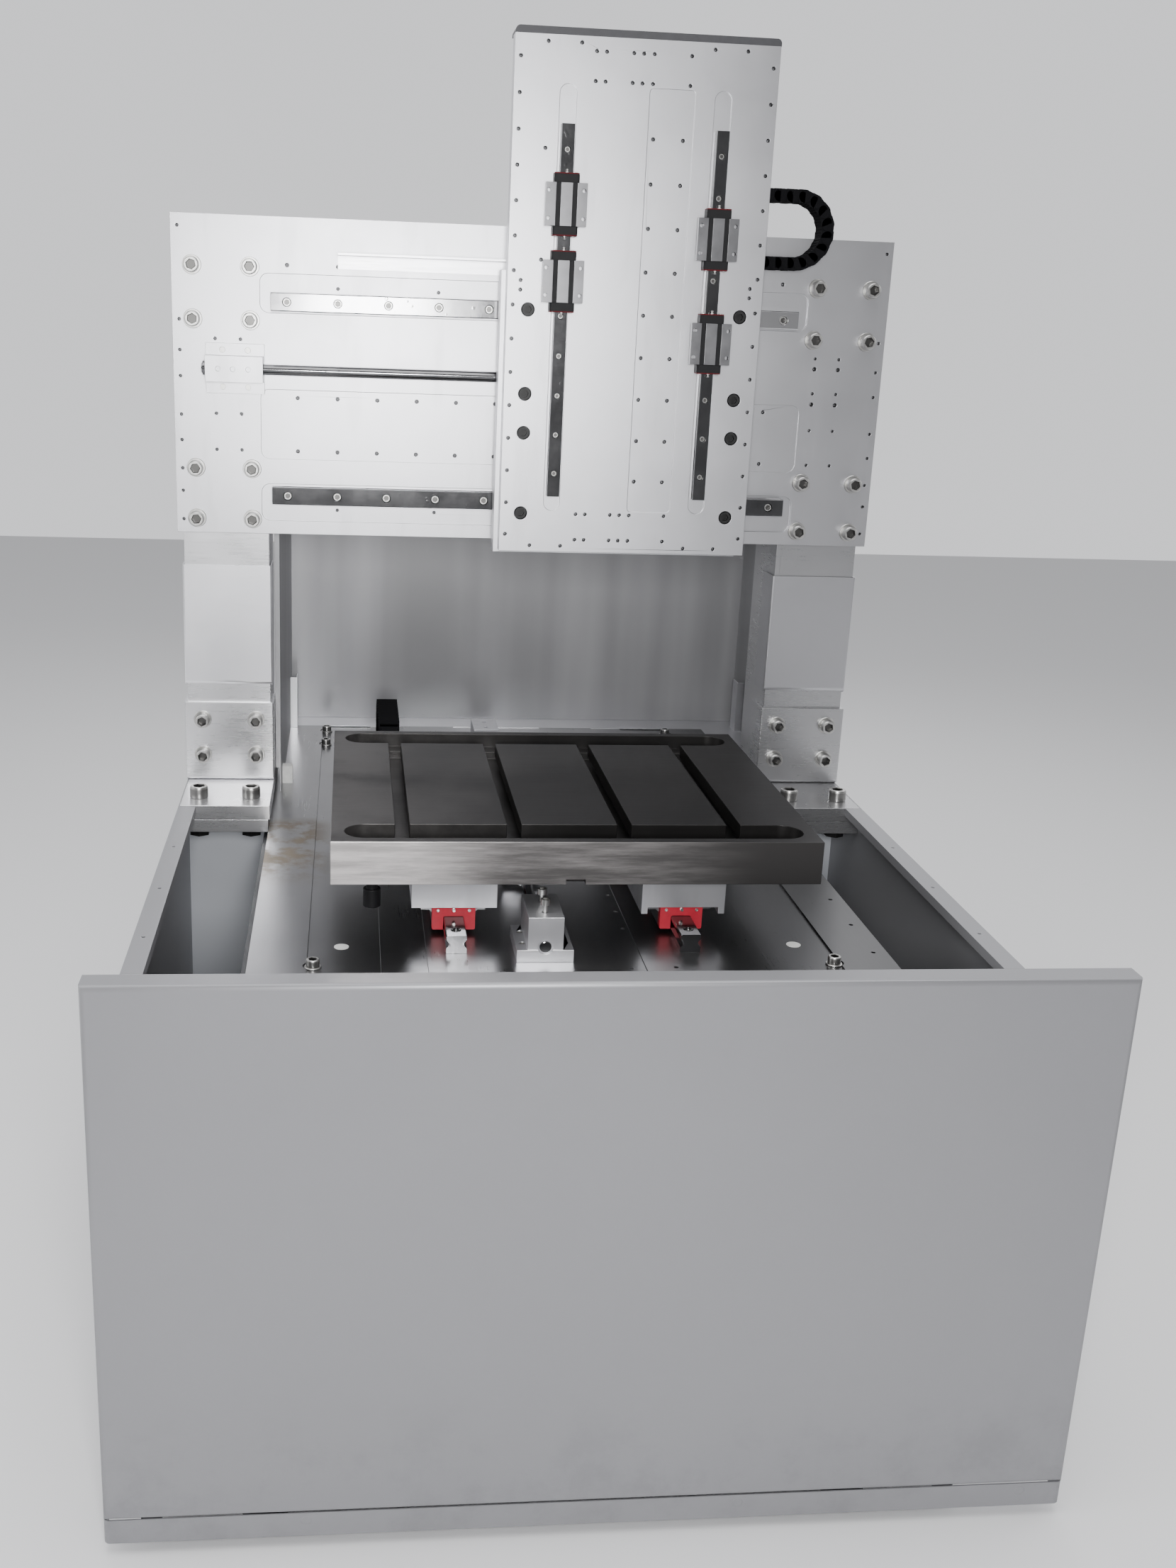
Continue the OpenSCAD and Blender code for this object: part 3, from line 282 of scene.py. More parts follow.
def machined_steel(colours):
    """Columns, brackets and feet: fine milling grain and wiped oil."""
    f = Finish("machined_steel")
    lines = f.noise(1.0, 4.0, 0.6, f.stretched((24.0, 24.0, 520.0)))
    cloud = f.noise(8.0, 5.0, 0.6)
    base = tuple(colours.steel)
    colour = f.mix(cloud, scaled(base, 1.7), scaled(base, 2.0))
    # painted shade: darker towards +X, as the light falls off to the right
    colour = f.mix(f.x.ramp(-0.1, 0.3), colour, scaled(base, 1.1))
    f.bump(lines, 0.00005, 0.35)
    return f.done(Base_Color=colour, Metallic=0.9, Roughness=0.17 + lines * 0.12 + cloud * 0.12)


def blasted_aluminium(colours, plate=None):
    """Bead-blasted plate: even sparkle, handling smudges, faint wipes, painted shade towards +X, and painted
    shade in the bores of a named plate.
    """
    f = Finish("blasted_aluminium" if plate is None else plate + "_aluminium")
    smudge = f.noise(7.0, 6.0, 0.62)
    wipe = f.noise(1.0, 4.0, 0.55, f.stretched((16.0, 16.0, 3.2)))
    speck = f.noise(1500.0, 2.0, 0.6)
    base = tuple(colours.aluminium)
    colour = f.mix(smudge, scaled(base, 0.98), scaled(base, 1.18))
    # painted shade: darker towards +X, as the light falls off to the right
    colour = f.mix(f.x.ramp(0.0, 0.42), colour, scaled(base, 0.72))
    colour = f.mix((wipe - 0.5).ramp(0.02, 0.16) * 0.35, colour, scaled(base, 0.80))
    if plate is not None:
        # any surface this far inside the plate's own faces is the wall of a hole, which gets painted shade
        low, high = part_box(plate)
        rim, side = 0.0046, 0.005
        bore_shade = (f.y > low.y + rim) * (f.y < high.y - 0.001)
        bore_shade = bore_shade * (f.x > low.x + side) * (f.x < high.x - side)
        bore_shade = bore_shade * (f.z > low.z + side) * (f.z < high.z - side)
        colour = f.mix(bore_shade, colour, scaled(base, 0.12))
    f.bump(speck, 0.00012, 0.5)
    return f.done(Base_Color=colour, Metallic=0.92, Roughness=0.32 + smudge * 0.12)


def cast_iron(colours):
    """Milled casting: cutter lines across the top, a front face with a painted highlight that fades from
    left to right, a top with painted light at the far left and painted shade to the right, and dark oil
    patches.
    """
    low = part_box("t_slot_table")[0]
    f = Finish("cast_iron")
    lines = f.noise(1.0, 5.0, 0.7, f.stretched((9.0, 620.0, 90.0)))
    patch = f.noise(5.5, 6.0, 0.62)
    front = f.y.ramp(low.y + 0.0012, low.y + 0.0022, 1.0, 0.0)
    face_lines = f.noise(1.0, 5.0, 0.7, f.stretched((150.0, 1.0, 14.0)))
    streaks = f.noise(1.0, 6.0, 0.7, f.stretched((5.0, 2.0, 60.0)))
    base = tuple(colours.iron)
    top = f.mix(patch.ramp(0.35, 0.65), scaled(base, 0.55), scaled(base, 1.25))
    # painted highlight on the front face: brightest at the far left, fading to the right over the next lines
    front_highlight = f.mix(streaks.ramp(0.32, 0.66), scaled(base, 8.0), scaled(base, 14.0))
    middle = f.mix(streaks.ramp(0.35, 0.68), scaled(base, 1.8), scaled(base, 4.5))
    front_highlight = f.mix(f.x.ramp(-0.30, -0.12), front_highlight, middle)
    front_highlight = f.mix(f.x.ramp(-0.02, 0.22), front_highlight, scaled(base, 0.8))
    # painted highlight: the top is lighter at the far left
    far_left = f.x.ramp(-0.36, -0.24, 1.0, 0.0) * patch.ramp(0.30, 0.6)
    top = f.mix(far_left * 0.6, top, scaled(base, 2.6))
    # painted shade: the top darkens towards +X
    top = f.mix(f.x.ramp(-0.24, 0.0) * 0.75, top, scaled(base, 0.30))
    colour = f.mix(front, top, front_highlight)
    f.bump(lines, 0.00006, 0.5)
    f.bump(face_lines * front, 0.00006, 0.5)
    return f.done(Base_Color=colour, Metallic=0.75, Roughness=0.24 + lines * 0.12 + patch * 0.16)


def rail_steel(colours):
    """Hardened and ground rails and shafts: near mirror, with thin lines and oil drops, and a painted
    highlight on the upper X rail's right part.
    """
    f = Finish("rail_steel")
    lines = f.noise(1.0, 4.0, 0.6, f.stretched((260.0, 260.0, 260.0)))
    oil = f.cells(70.0).ramp(0.10, 0.22, 1.0, 0.0) * f.noise(12.0).ramp(0.5, 0.62)
    smear = f.noise(22.0, 5.0, 0.6)
    colour = f.mix(smear, (0.13, 0.13, 0.135), (0.25, 0.25, 0.255))
    # painted highlight: rail steel right of x = 0.24, above the upper X rail's lower edge and behind its
    # front, is coloured near-white
    upper_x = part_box("x_rail_upper")
    end = f.z.ramp(upper_x[0].z - 0.002, upper_x[0].z - 0.001)
    end = end * (f.x > 0.24) * (f.y > upper_x[0].y - 0.001)
    colour = f.mix(end, colour, (0.95, 0.95, 0.96))
    f.bump(oil, 0.0003, 0.25)
    return f.done(Base_Color=colour, Metallic=1.0, Roughness=0.07 + lines * 0.06 + smear * 0.09)


def nickel(colours):
    """Plated screws: bright rims and washers, with painted shade on the knurled sides and in the hexagon
    socket.
    """
    f = Finish("nickel")
    cloud = f.noise(260.0, 3.0)
    recess = Val(f, f.node("ShaderNodeAttribute", {"attribute_name": "recess"}, {})["Fac"])
    colour = f.mix(cloud, (0.46, 0.46, 0.45), (0.66, 0.65, 0.63))
    # painted shade in the socket and on the knurled sides
    colour = f.mix(recess, colour, (0.10, 0.098, 0.095))
    f.bump(f.noise(900.0), 0.00001, 0.15)
    return f.done(Base_Color=colour, Metallic=1.0, Roughness=0.27 + cloud * 0.12)


def black_oxide(colours):
    f = Finish("black_oxide")
    cloud = f.noise(190.0, 3.0)
    return f.done(Base_Color=f.mix(cloud, (0.010, 0.010, 0.010), (0.028, 0.028, 0.028)),
                  Metallic=0.5, Roughness=0.32 + cloud * 0.2)


def block_steel(colours):
    f = Finish("block_steel")
    lines = f.noise(1.0, 4.0, 0.6, f.stretched((300.0, 300.0, 60.0)))
    cloud = f.noise(40.0, 4.0)
    colour = f.mix(cloud, (0.15, 0.15, 0.155), (0.24, 0.24, 0.25))
    f.bump(lines, 0.00002, 0.15)
    return f.done(Base_Color=colour, Metallic=0.95, Roughness=0.28 + cloud * 0.14)


def moulded(name, colour, rough, gloss=0.5):
    """Moulded plastic with a fine grain and a little wear."""
    f = Finish(name, Specular_IOR_Level=gloss)
    cloud = f.noise(120.0, 3.0)
    f.bump(f.noise(900.0), 0.00008, 0.35)
    return f.done(Base_Color=f.mix(cloud, scaled(colour, 0.8), scaled(colour, 1.25)),
                  Roughness=rough + cloud * 0.15)


def floor_paint(colour):
    f = Finish("floor_paint")
    cloud = f.noise(1.2, 4.0)
    return f.done(Base_Color=f.mix(cloud, scaled(colour, 0.985), colour), Roughness=0.8 + cloud * 0.1)


FINISHES = {}


def finish(name):
    """The finish of that name, made once."""
    colours = bpy.context.scene.router_colours
    makers = {
        "panel_paint": panel_paint, "well_paint": well_paint, "guard_paint": guard_paint,
        "zinc_sheet": zinc_sheet, "frame_paint": frame_paint, "ground_steel": ground_steel,
        "machined_steel": machined_steel, "blasted_aluminium": blasted_aluminium, "cast_iron": cast_iron,
        "beam_aluminium": lambda c: blasted_aluminium(c, "beam_plate"),
        "z_aluminium": lambda c: blasted_aluminium(c, "z_plate"),
        "rail_steel": rail_steel, "nickel": nickel, "black_oxide": black_oxide, "block_steel": block_steel,
        "black_nylon": lambda c: moulded("black_nylon", (0.008, 0.008, 0.009), 0.46, 0.22),
        "chain_nylon": lambda c: moulded("chain_nylon", (0.007, 0.007, 0.008), 0.75, 0.06),
        "dark_seal": lambda c: moulded("dark_seal", scaled(tuple(c.cap_red), 0.25), 0.5, 0.2),
        "red_nylon": lambda c: moulded("red_nylon", tuple(c.cap_red), 0.34),
        "white_nylon": lambda c: moulded("white_nylon", (0.72, 0.72, 0.70), 0.4),
        "foot_rubber": lambda c: moulded("foot_rubber", (0.02, 0.02, 0.02), 0.6),
        "dark_plate": lambda c: moulded("dark_plate", (0.05, 0.05, 0.055), 0.4),
    }
    if name not in FINISHES:
        FINISHES[name] = makers[name](colours)
    return FINISHES[name]


# ---------------------------------------------------------------- meshes
BODY_OF = {node: body for body, nodes in frame["record"]["behaviour"]["bodies"].items() for node in nodes}


def paint(nodes, name):
    """Gives CAD nodes a finish as they are."""
    for node in nodes:
        obj = frame["nodes"][node]
        obj.data.materials.clear()
        obj.data.materials.append(finish(name))


def add_piece(name, mesh, body, material, replaced=()):
    """Links a finished mesh as a piece that rides on a body."""
    obj = bpy.data.objects.new(name, mesh)
    bpy.context.scene.collection.objects.link(obj)
    mesh.materials.clear()
    mesh.materials.append(material)
    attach(obj, body)
    if replaced:
        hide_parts(*replaced)
    return obj


def mesh_from(bm, name, angle=32.0):
    bmesh.ops.remove_doubles(bm, verts=bm.verts, dist=1e-6)
    bmesh.ops.recalc_face_normals(bm, faces=bm.faces)
    mesh = bpy.data.meshes.new(name)
    bm.to_mesh(mesh)
    bm.free()
    smooth(mesh, angle)
    return mesh


def smooth(mesh, angle):
    mesh.polygons.foreach_set("use_smooth", [True] * len(mesh.polygons))
    mesh.set_sharp_from_angle(angle=math.radians(angle))


def baked(obj):
    """The evaluated object as a plain mesh; the object and its modifiers go."""
    depsgraph = bpy.context.evaluated_depsgraph_get()
    mesh = bpy.data.meshes.new_from_object(obj.evaluated_get(depsgraph))
    obj.modifiers.clear()
    bpy.data.objects.remove(obj)
    return mesh


def levelled(mesh, angle):
    """Smooth shading in which the large flat faces stay flat up to their broken edges."""
    smooth(mesh, angle)
    obj = prototype("work", mesh)
    even = obj.modifiers.new("even", "WEIGHTED_NORMAL")
    even.mode = "FACE_AREA"
    even.weight = 100
    even.keep_sharp = True
    return baked(obj)


def softened(node, name, edge=0.0, angle=32.0):
    """A copy of a CAD node with its flat faces joined and its edges broken, which replaces the node."""
    bm = bmesh.new()
    bm.from_mesh(frame["nodes"][node].data)
    bmesh.ops.remove_doubles(bm, verts=bm.verts, dist=2e-6)
    bmesh.ops.dissolve_limit(bm, angle_limit=math.radians(0.4), verts=bm.verts, edges=bm.edges,
                             delimit={"NORMAL"})
    mesh = bpy.data.meshes.new(node + "_skin")
    bm.to_mesh(mesh)
    bm.free()
    if edge > 0.0:
        obj = bpy.data.objects.new("work", mesh)
        bpy.context.scene.collection.objects.link(obj)
        bevel = obj.modifiers.new("edge", "BEVEL")
        bevel.width = edge
        bevel.segments = 2
        bevel.limit_method = "ANGLE"
        bevel.angle_limit = math.radians(38.0)
        bevel.use_clamp_overlap = False
        mesh = baked(obj)
    return add_piece(node + "_skin", levelled(mesh, angle), BODY_OF[node], finish(name),
                     (node,))


def ring(bm, profile, sides, close_start=True, close_end=True, shape=None):
    """Lathe of (radius, height) points about Z; shape(i, radius) may change the radius of a side."""
    rows = []
    for radius, height in profile:
        row = []
        for i in range(sides):
            r = shape(i, radius) if shape else radius
            a = 2.0 * math.pi * i / sides
            row.append(bm.verts.new((r * math.cos(a), r * math.sin(a), height)))
        rows.append(row)
    for a, b in zip(rows, rows[1:]):
        for i in range(sides):
            j = (i + 1) % sides
            bm.faces.new((a[i], a[j], b[j], b[i]))
    if close_start:
        bm.faces.new(rows[0][::-1])
    if close_end:
        bm.faces.new(rows[-1])
    return rows


def cap_screw_mesh(name, head_d, head_h, washer_d, washer_h, knurls=26):
    """Socket cap screw seated on z = 0: knurled head with a rim, hexagon socket, and its washer."""
    bm = bmesh.new()
    recess = bm.faces.layers.float.new("recess")
    r = head_d / 2.0
    hex_r = head_d * 0.31
    z0 = washer_h
    sides = knurls * 2

    def knurl(i, radius):
        return radius * (0.985 if i % 2 else 1.0) if radius > r * 0.94 else radius

    outer = [(r * 0.93, z0), (r, z0 + head_h * 0.06), (r, z0 + head_h * 0.80),
             (r * 0.93, z0 + head_h * 0.96), (r * 0.86, z0 + head_h), (r * 0.74, z0 + head_h)]
    rows = ring(bm, outer, sides, close_end=False, shape=knurl)
    top = rows[-1]

    def hexagon(i, radius):
        a = math.pi * 2.0 * i / sides
        return radius * math.cos(math.pi / 6.0) / math.cos((a % (math.pi / 3.0)) - math.pi / 6.0)

    rim = []
    for radius, height in [(hex_r * 1.12, z0 + head_h), (hex_r, z0 + head_h * 0.93),
                           (hex_r, z0 + head_h * 0.40)]:
        rim.append([bm.verts.new((hexagon(i, radius) * math.cos(2.0 * math.pi * i / sides),
                                  hexagon(i, radius) * math.sin(2.0 * math.pi * i / sides), height))
                    for i in range(sides)])
    for a, b in zip([top] + rim, rim):
        for i in range(sides):
            j = (i + 1) % sides
            bm.faces.new((a[i], a[j], b[j], b[i]))
    bm.faces.new(rim[-1])
    # painted shade: socket faces get 0.96 and knurled sides 0.5, which the nickel finish darkens
    for face in bm.faces:
        middle = face.calc_center_median()
        reach = math.hypot(middle.x, middle.y)
        if reach < hex_r * 1.08:
            face[recess] = 0.96 if middle.z > z0 + head_h * 0.35 else 0.0
        elif reach > r * 0.94 and middle.z < z0 + head_h * 0.8:
            face[recess] = 0.5
    if washer_h > 0.0:
        w = washer_d / 2.0
        c = washer_h * 0.25
        ring(bm, [(w - c, 0.0), (w, c), (w, washer_h - c), (w - c, washer_h)], 40)
    return mesh_from(bm, name, 28.0)


# ---------------------------------------------------------------- node trees
def tree_input(tree, name, kind, default=None):
    socket = tree.interface.new_socket(name, in_out="INPUT", socket_type=kind)
    if default is not None:
        socket.default_value = default
    return socket.identifier


def set_inputs(modifier, ids, values):
    for name, value in values.items():
        modifier[ids[name]] = value


def scatter_tree():
    """One copy of a thing at each point, turned by one angle for each copy."""
    tree = bpy.data.node_groups.new("fastener_rows", "GeometryNodeTree")
    tree.interface.new_socket("Geometry", in_out="INPUT", socket_type="NodeSocketGeometry")
    tree.interface.new_socket("Geometry", in_out="OUTPUT", socket_type="NodeSocketGeometry")
    ids = {
        "Fastener": tree_input(tree, "Fastener", "NodeSocketObject"),
        "Facing": tree_input(tree, "Facing", "NodeSocketVector"),
        "Finish": tree_input(tree, "Finish", "NodeSocketMaterial"),
        "Seed": tree_input(tree, "Seed", "NodeSocketInt", 7),
    }
    n, link = tree.nodes.new, tree.links.new
    source, target = n("NodeGroupInput"), n("NodeGroupOutput")
    thing = n("GeometryNodeObjectInfo")
    place = n("GeometryNodeInstanceOnPoints")
    spin = n("FunctionNodeRandomValue")
    turn = n("ShaderNodeCombineXYZ")
    facing = n("FunctionNodeEulerToRotation")
    local = n("FunctionNodeEulerToRotation")
    both = n("FunctionNodeRotateRotation")
    both.rotation_space = "LOCAL"
    realize, cover = n("GeometryNodeRealizeInstances"), n("GeometryNodeSetMaterial")
    spin.data_type = "FLOAT"
    spin.inputs["Min"].default_value = 0.0
    spin.inputs["Max"].default_value = math.pi / 3.0
    float_out = [o for o in spin.outputs if o.type == "VALUE" and o.enabled][0]
    link(source.outputs["Seed"], spin.inputs["Seed"])
    link(float_out, turn.inputs["Z"])
    link(source.outputs["Facing"], facing.inputs[0])
    link(turn.outputs[0], local.inputs[0])
    link(facing.outputs[0], both.inputs["Rotation"])
    link(local.outputs[0], both.inputs["Rotate By"])
    link(source.outputs["Fastener"], thing.inputs["Object"])
    link(source.outputs["Geometry"], place.inputs["Points"])
    link(thing.outputs["Geometry"], place.inputs["Instance"])
    link(both.outputs[0], place.inputs["Rotation"])
    link(place.outputs[0], realize.inputs[0])
    link(realize.outputs[0], cover.inputs["Geometry"])
    link(source.outputs["Finish"], cover.inputs["Material"])
    link(cover.outputs[0], target.inputs[0])
    return tree, ids


def chain_tree():
    """Chain links at one pitch along a line, each turned to follow it."""
    tree = bpy.data.node_groups.new("chain_links", "GeometryNodeTree")
    tree.interface.new_socket("Geometry", in_out="INPUT", socket_type="NodeSocketGeometry")
    tree.interface.new_socket("Geometry", in_out="OUTPUT", socket_type="NodeSocketGeometry")
    ids = {
        "Link": tree_input(tree, "Link", "NodeSocketObject"),
        "Pitch": tree_input(tree, "Pitch", "NodeSocketFloat", 0.02),
        "Side": tree_input(tree, "Side", "NodeSocketVector"),
        "Finish": tree_input(tree, "Finish", "NodeSocketMaterial"),
    }
    n, link = tree.nodes.new, tree.links.new
    source, target = n("NodeGroupInput"), n("NodeGroupOutput")
    thing = n("GeometryNodeObjectInfo")
    line, points = n("GeometryNodeMeshToCurve"), n("GeometryNodeCurveToPoints")
    points.mode = "LENGTH"
    aim, level = n("FunctionNodeAlignRotationToVector"), n("FunctionNodeAlignRotationToVector")
    aim.axis = "X"
    level.axis = "Y"
    level.pivot_axis = "X"
    place = n("GeometryNodeInstanceOnPoints")
    realize, cover = n("GeometryNodeRealizeInstances"), n("GeometryNodeSetMaterial")
    link(source.outputs["Geometry"], line.inputs[0])
    link(line.outputs[0], points.inputs["Curve"])
    link(source.outputs["Pitch"], points.inputs["Length"])
    link(points.outputs["Points"], place.inputs["Points"])
    link(source.outputs["Link"], thing.inputs["Object"])
    link(thing.outputs["Geometry"], place.inputs["Instance"])
    link(points.outputs["Tangent"], aim.inputs["Vector"])
    link(aim.outputs[0], level.inputs["Rotation"])
    link(source.outputs["Side"], level.inputs["Vector"])
    link(level.outputs[0], place.inputs["Rotation"])
    link(place.outputs[0], realize.inputs[0])
    link(realize.outputs[0], cover.inputs["Geometry"])
    link(source.outputs["Finish"], cover.inputs["Material"])
    link(cover.outputs[0], target.inputs[0])
    return tree, ids


def run_tree(tree, ids, mesh, values):
    """Runs a tree on a mesh of points or lines and returns the plain mesh that it makes."""
    obj = bpy.data.objects.new("work", mesh)
    bpy.context.scene.collection.objects.link(obj)
    modifier = obj.modifiers.new("tree", "NODES")
    modifier.node_group = tree
    set_inputs(modifier, ids, values)
    bpy.context.view_layer.update()
    return baked(obj)


def points_mesh(points):
    mesh = bpy.data.meshes.new("points")
    mesh.from_pydata([tuple(p) for p in points], [], [])
    return mesh


def line_mesh(points):
    mesh = bpy.data.meshes.new("line")
    mesh.from_pydata([tuple(p) for p in points], [(i, i + 1) for i in range(len(points) - 1)], [])
    return mesh


def prototype(name, mesh):
    obj = bpy.data.objects.new(name, mesh)
    bpy.context.scene.collection.objects.link(obj)
    bpy.context.view_layer.update()
    return obj


FACE_UP = (0.0, 0.0, 0.0)
FACE_FRONT = (math.pi / 2.0, 0.0, 0.0)


def solid_boxes(node):
    """Lowest and highest corner of each separate solid of a CAD node."""
    bm = bmesh.new()
    bm.from_mesh(frame["nodes"][node].data)
    bmesh.ops.remove_doubles(bm, verts=bm.verts, dist=2e-6)
    seen, found = set(), []
    for start in bm.verts:
        if start in seen:
            continue
        stack, group = [start], []
        seen.add(start)
        while stack:
            v = stack.pop()
            group.append(v.co.copy())
            for e in v.link_edges:
                o = e.other_vert(v)
                if o not in seen:
                    seen.add(o)
                    stack.append(o)
        low = Vector(min(p[i] for p in group) for i in range(3))
        high = Vector(max(p[i] for p in group) for i in range(3))
        found.append((low, high))
    bm.free()
    return found


def fasteners(name, mesh, points, facing, body, material, replaced=()):
    """Places one fastener at each point and joins them in one piece."""
    tree, ids = scatter_tree()
    thing = prototype("fastener", mesh)
    made = run_tree(tree, ids, points_mesh(points), {
        "Fastener": thing, "Facing": facing, "Finish": finish(material), "Seed": 7})
    bpy.data.objects.remove(thing)
    bpy.data.node_groups.remove(tree)
    return add_piece(name, made, body, finish(material), replaced)


# ---------------------------------------------------------------- guide blocks
GUIDE_30 = {"rail": 28 * MM, "rail_h": 26 * MM, "height": 42 * MM, "flange": 90 * MM, "body": 60 * MM,
            "length": 98 * MM, "steel": 70 * MM, "flange_h": 11.3 * MM, "hole_x": 52 * MM, "hole_y": 72 * MM,
            "hole": 4.5 * MM, "cap": 60 * MM, "cover": 29.6 * MM, "land": 10 * MM}
GUIDE_20 = {"rail": 20 * MM, "rail_h": 18 * MM, "height": 30 * MM, "flange": 63 * MM, "body": 44 * MM,
            "length": 90 * MM, "steel": 62 * MM, "flange_h": 8.1 * MM, "hole_x": 40 * MM, "hole_y": 53 * MM,
            "hole": 3.0 * MM, "cap": 38 * MM, "cover": 16 * MM, "land": 9 * MM}


def extruded(outline, x0, x1):
    """Prism of a (y, z) outline between two places along X."""
    bm = bmesh.new()
    near = [bm.verts.new((x0, y, z)) for y, z in outline]
    far = [bm.verts.new((x1, y, z)) for y, z in outline]
    count = len(outline)
    for i in range(count):
        j = (i + 1) % count
        bm.faces.new((near[i], near[j], far[j], far[i]))
    bm.faces.new(near[::-1])
    bm.faces.new(far)
    bmesh.ops.recalc_face_normals(bm, faces=bm.faces)
    return bm


def mirrored(half):
    """Closed outline from its right half, given from the bottom middle to the top middle."""
    return half + [(-y, z) for y, z in half[::-1]]


def block_steel_mesh(g):
    """Steel body: two flanges with bolt holes, a middle land and a groove on each side of it."""
    land, cover, groove = g["land"], g["cover"], 1.2 * MM
    side = g["body"] / 2.0 - 0.4 * MM
    top, foot = g["height"], 7 * MM
    half_w = g["flange"] / 2.0
    gap = 0.3 * MM
    right = [(g["rail"] / 2.0 + gap, g["rail_h"] + gap), (g["rail"] / 2.0 + gap, foot),
             (side, foot), (side, top - g["flange_h"] - 4 * MM), (side + 4 * MM, top - g["flange_h"]),
             (half_w, top - g["flange_h"]), (half_w, top), (cover, top), (cover, top - groove),
             (land, top - groove), (land, top)]
    bm = extruded(mirrored(right), -g["steel"] / 2.0, g["steel"] / 2.0)
    mesh = bpy.data.meshes.new("block")
    bm.to_mesh(mesh)
    bm.free()
    cut = bmesh.new()
    for sx in (-1, 1):
        for sy in (-1, 1):
            at = Matrix.Translation((sx * g["hole_x"] / 2.0, sy * g["hole_y"] / 2.0, top))
            bmesh.ops.create_cone(cut, cap_ends=True, segments=24, radius1=g["hole"], radius2=g["hole"],
                                  depth=g["flange_h"] * 3.0, matrix=at)
    cutter_mesh = bpy.data.meshes.new("cutter")
    cut.to_mesh(cutter_mesh)
    cut.free()
    cutter = prototype("cutter", cutter_mesh)
    body = prototype("block", mesh)
    holes = body.modifiers.new("holes", "BOOLEAN")
    holes.operation = "DIFFERENCE"
    holes.solver = "EXACT"
    holes.object = cutter
    edge = body.modifiers.new("edge", "BEVEL")
    edge.width = 0.35 * MM
    edge.segments = 2
    edge.limit_method = "ANGLE"
    edge.angle_limit = math.radians(40.0)
    edge.use_clamp_overlap = False
    made = baked(body)
    bpy.data.objects.remove(cutter)
    smooth(made, 32.0)
    return made


def cap_outline(g):
    """End cap seen along the rail: square shoulders, feet beside the rail, and the rail's opening."""
    half = g["cap"] / 2.0
    top = g["height"] - 1.0 * MM
    foot = 6.5 * MM
    rail, rail_top = g["rail"] / 2.0 + 0.3 * MM, g["rail_h"] + 0.3 * MM
    waist = rail - 1.6 * MM
    return mirrored([(waist, rail_top), (rail, rail_top - 1.6 * MM), (rail, foot), (half - 1.5 * MM, foot),
                     (half, foot + 1.5 * MM), (half, top - 2.0 * MM), (half - 2.0 * MM, top)])


def block_caps_mesh(g, thickness, offset):
    """Both end plates of that thickness, starting that far outside the steel."""
    joined = bmesh.new()
    for s in (-1, 1):
        x0 = s * (g["steel"] / 2.0 + offset)
        x1 = x0 + s * thickness
        bm = extruded(cap_outline(g), min(x0, x1), max(x0, x1))
        sharp = [e for e in bm.edges if e.calc_face_angle(0.0) > math.radians(30.0)]
        bmesh.ops.bevel(bm, geom=sharp, offset=min(0.5 * MM, thickness * 0.3), segments=2, affect="EDGES")
        part = bpy.data.meshes.new("part")
        bm.to_mesh(part)
        bm.free()
        joined.from_mesh(part)
        bpy.data.meshes.remove(part)
    mesh = bpy.data.meshes.new("caps")
    joined.to_mesh(mesh)
    joined.free()
    smooth(mesh, 32.0)
    return mesh


def block_strips_mesh(g):
    """Dark covers in the grooves beside the middle land."""
    joined = bmesh.new()
    side, land = g["cover"], g["land"]
    for s in (-1, 1):
        at = Matrix.Translation((0.0, s * (side + land) / 2.0, g["height"] - 0.8 * MM))
        size = Matrix.Diagonal((g["steel"] - 0.2 * MM, side - land - 0.3 * MM, 0.7 * MM, 1.0))
        bmesh.ops.create_cube(joined, size=1.0, matrix=at @ size)
    bmesh.ops.bevel(joined, geom=joined.edges[:], offset=0.15 * MM, segments=1, affect="EDGES")
    return mesh_from(joined, "strips")


def block_fittings_mesh(g):
    """Grease nipple in the middle of each end and two small screws beside it."""
    joined = bmesh.new()
    start = g["length"] / 2.0
    for s in (-1, 1):
        for y, z, radius, reach in ((0.0, g["height"] - 6.0 * MM, 2.6 * MM, 5.0 * MM),
                                    (-g["cap"] * 0.36, g["height"] - 7.0 * MM, 2.4 * MM, 1.2 * MM),
                                    (g["cap"] * 0.36, g["height"] - 7.0 * MM, 2.4 * MM, 1.2 * MM)):
            bm = bmesh.new()
            if y == 0.0:
                profile = [(radius, -1.0 * MM), (radius, 1.2 * MM), (radius * 0.62, 1.5 * MM),
                           (radius * 0.58, 3.0 * MM), (radius * 0.85, 3.8 * MM), (radius * 0.7, reach)]
            else:
                profile = [(radius, -1.0 * MM), (radius, reach * 0.7), (radius * 0.8, reach),
                           (radius * 0.5, reach), (radius * 0.45, reach * 0.2)]
            ring(bm, profile, 16)
            turn = Matrix.Rotation(s * math.pi / 2.0, 4, "Y")
            bm.transform(Matrix.Translation((s * start, y, z)) @ turn)
            part = bpy.data.meshes.new("part")
            bm.to_mesh(part)
            bm.free()
            joined.from_mesh(part)
            bpy.data.meshes.remove(part)
    return mesh_from(joined, "fittings")


def copies(mesh, places):
    """One mesh with a copy of another at each place."""
    joined = bmesh.new()
    for place in places:
        part = mesh.copy()
        part.transform(place)
        joined.from_mesh(part)
        bpy.data.meshes.remove(part)
    result = bpy.data.meshes.new(mesh.name + "_set")
    joined.to_mesh(result)
    joined.free()
    return levelled(result, 32.0)


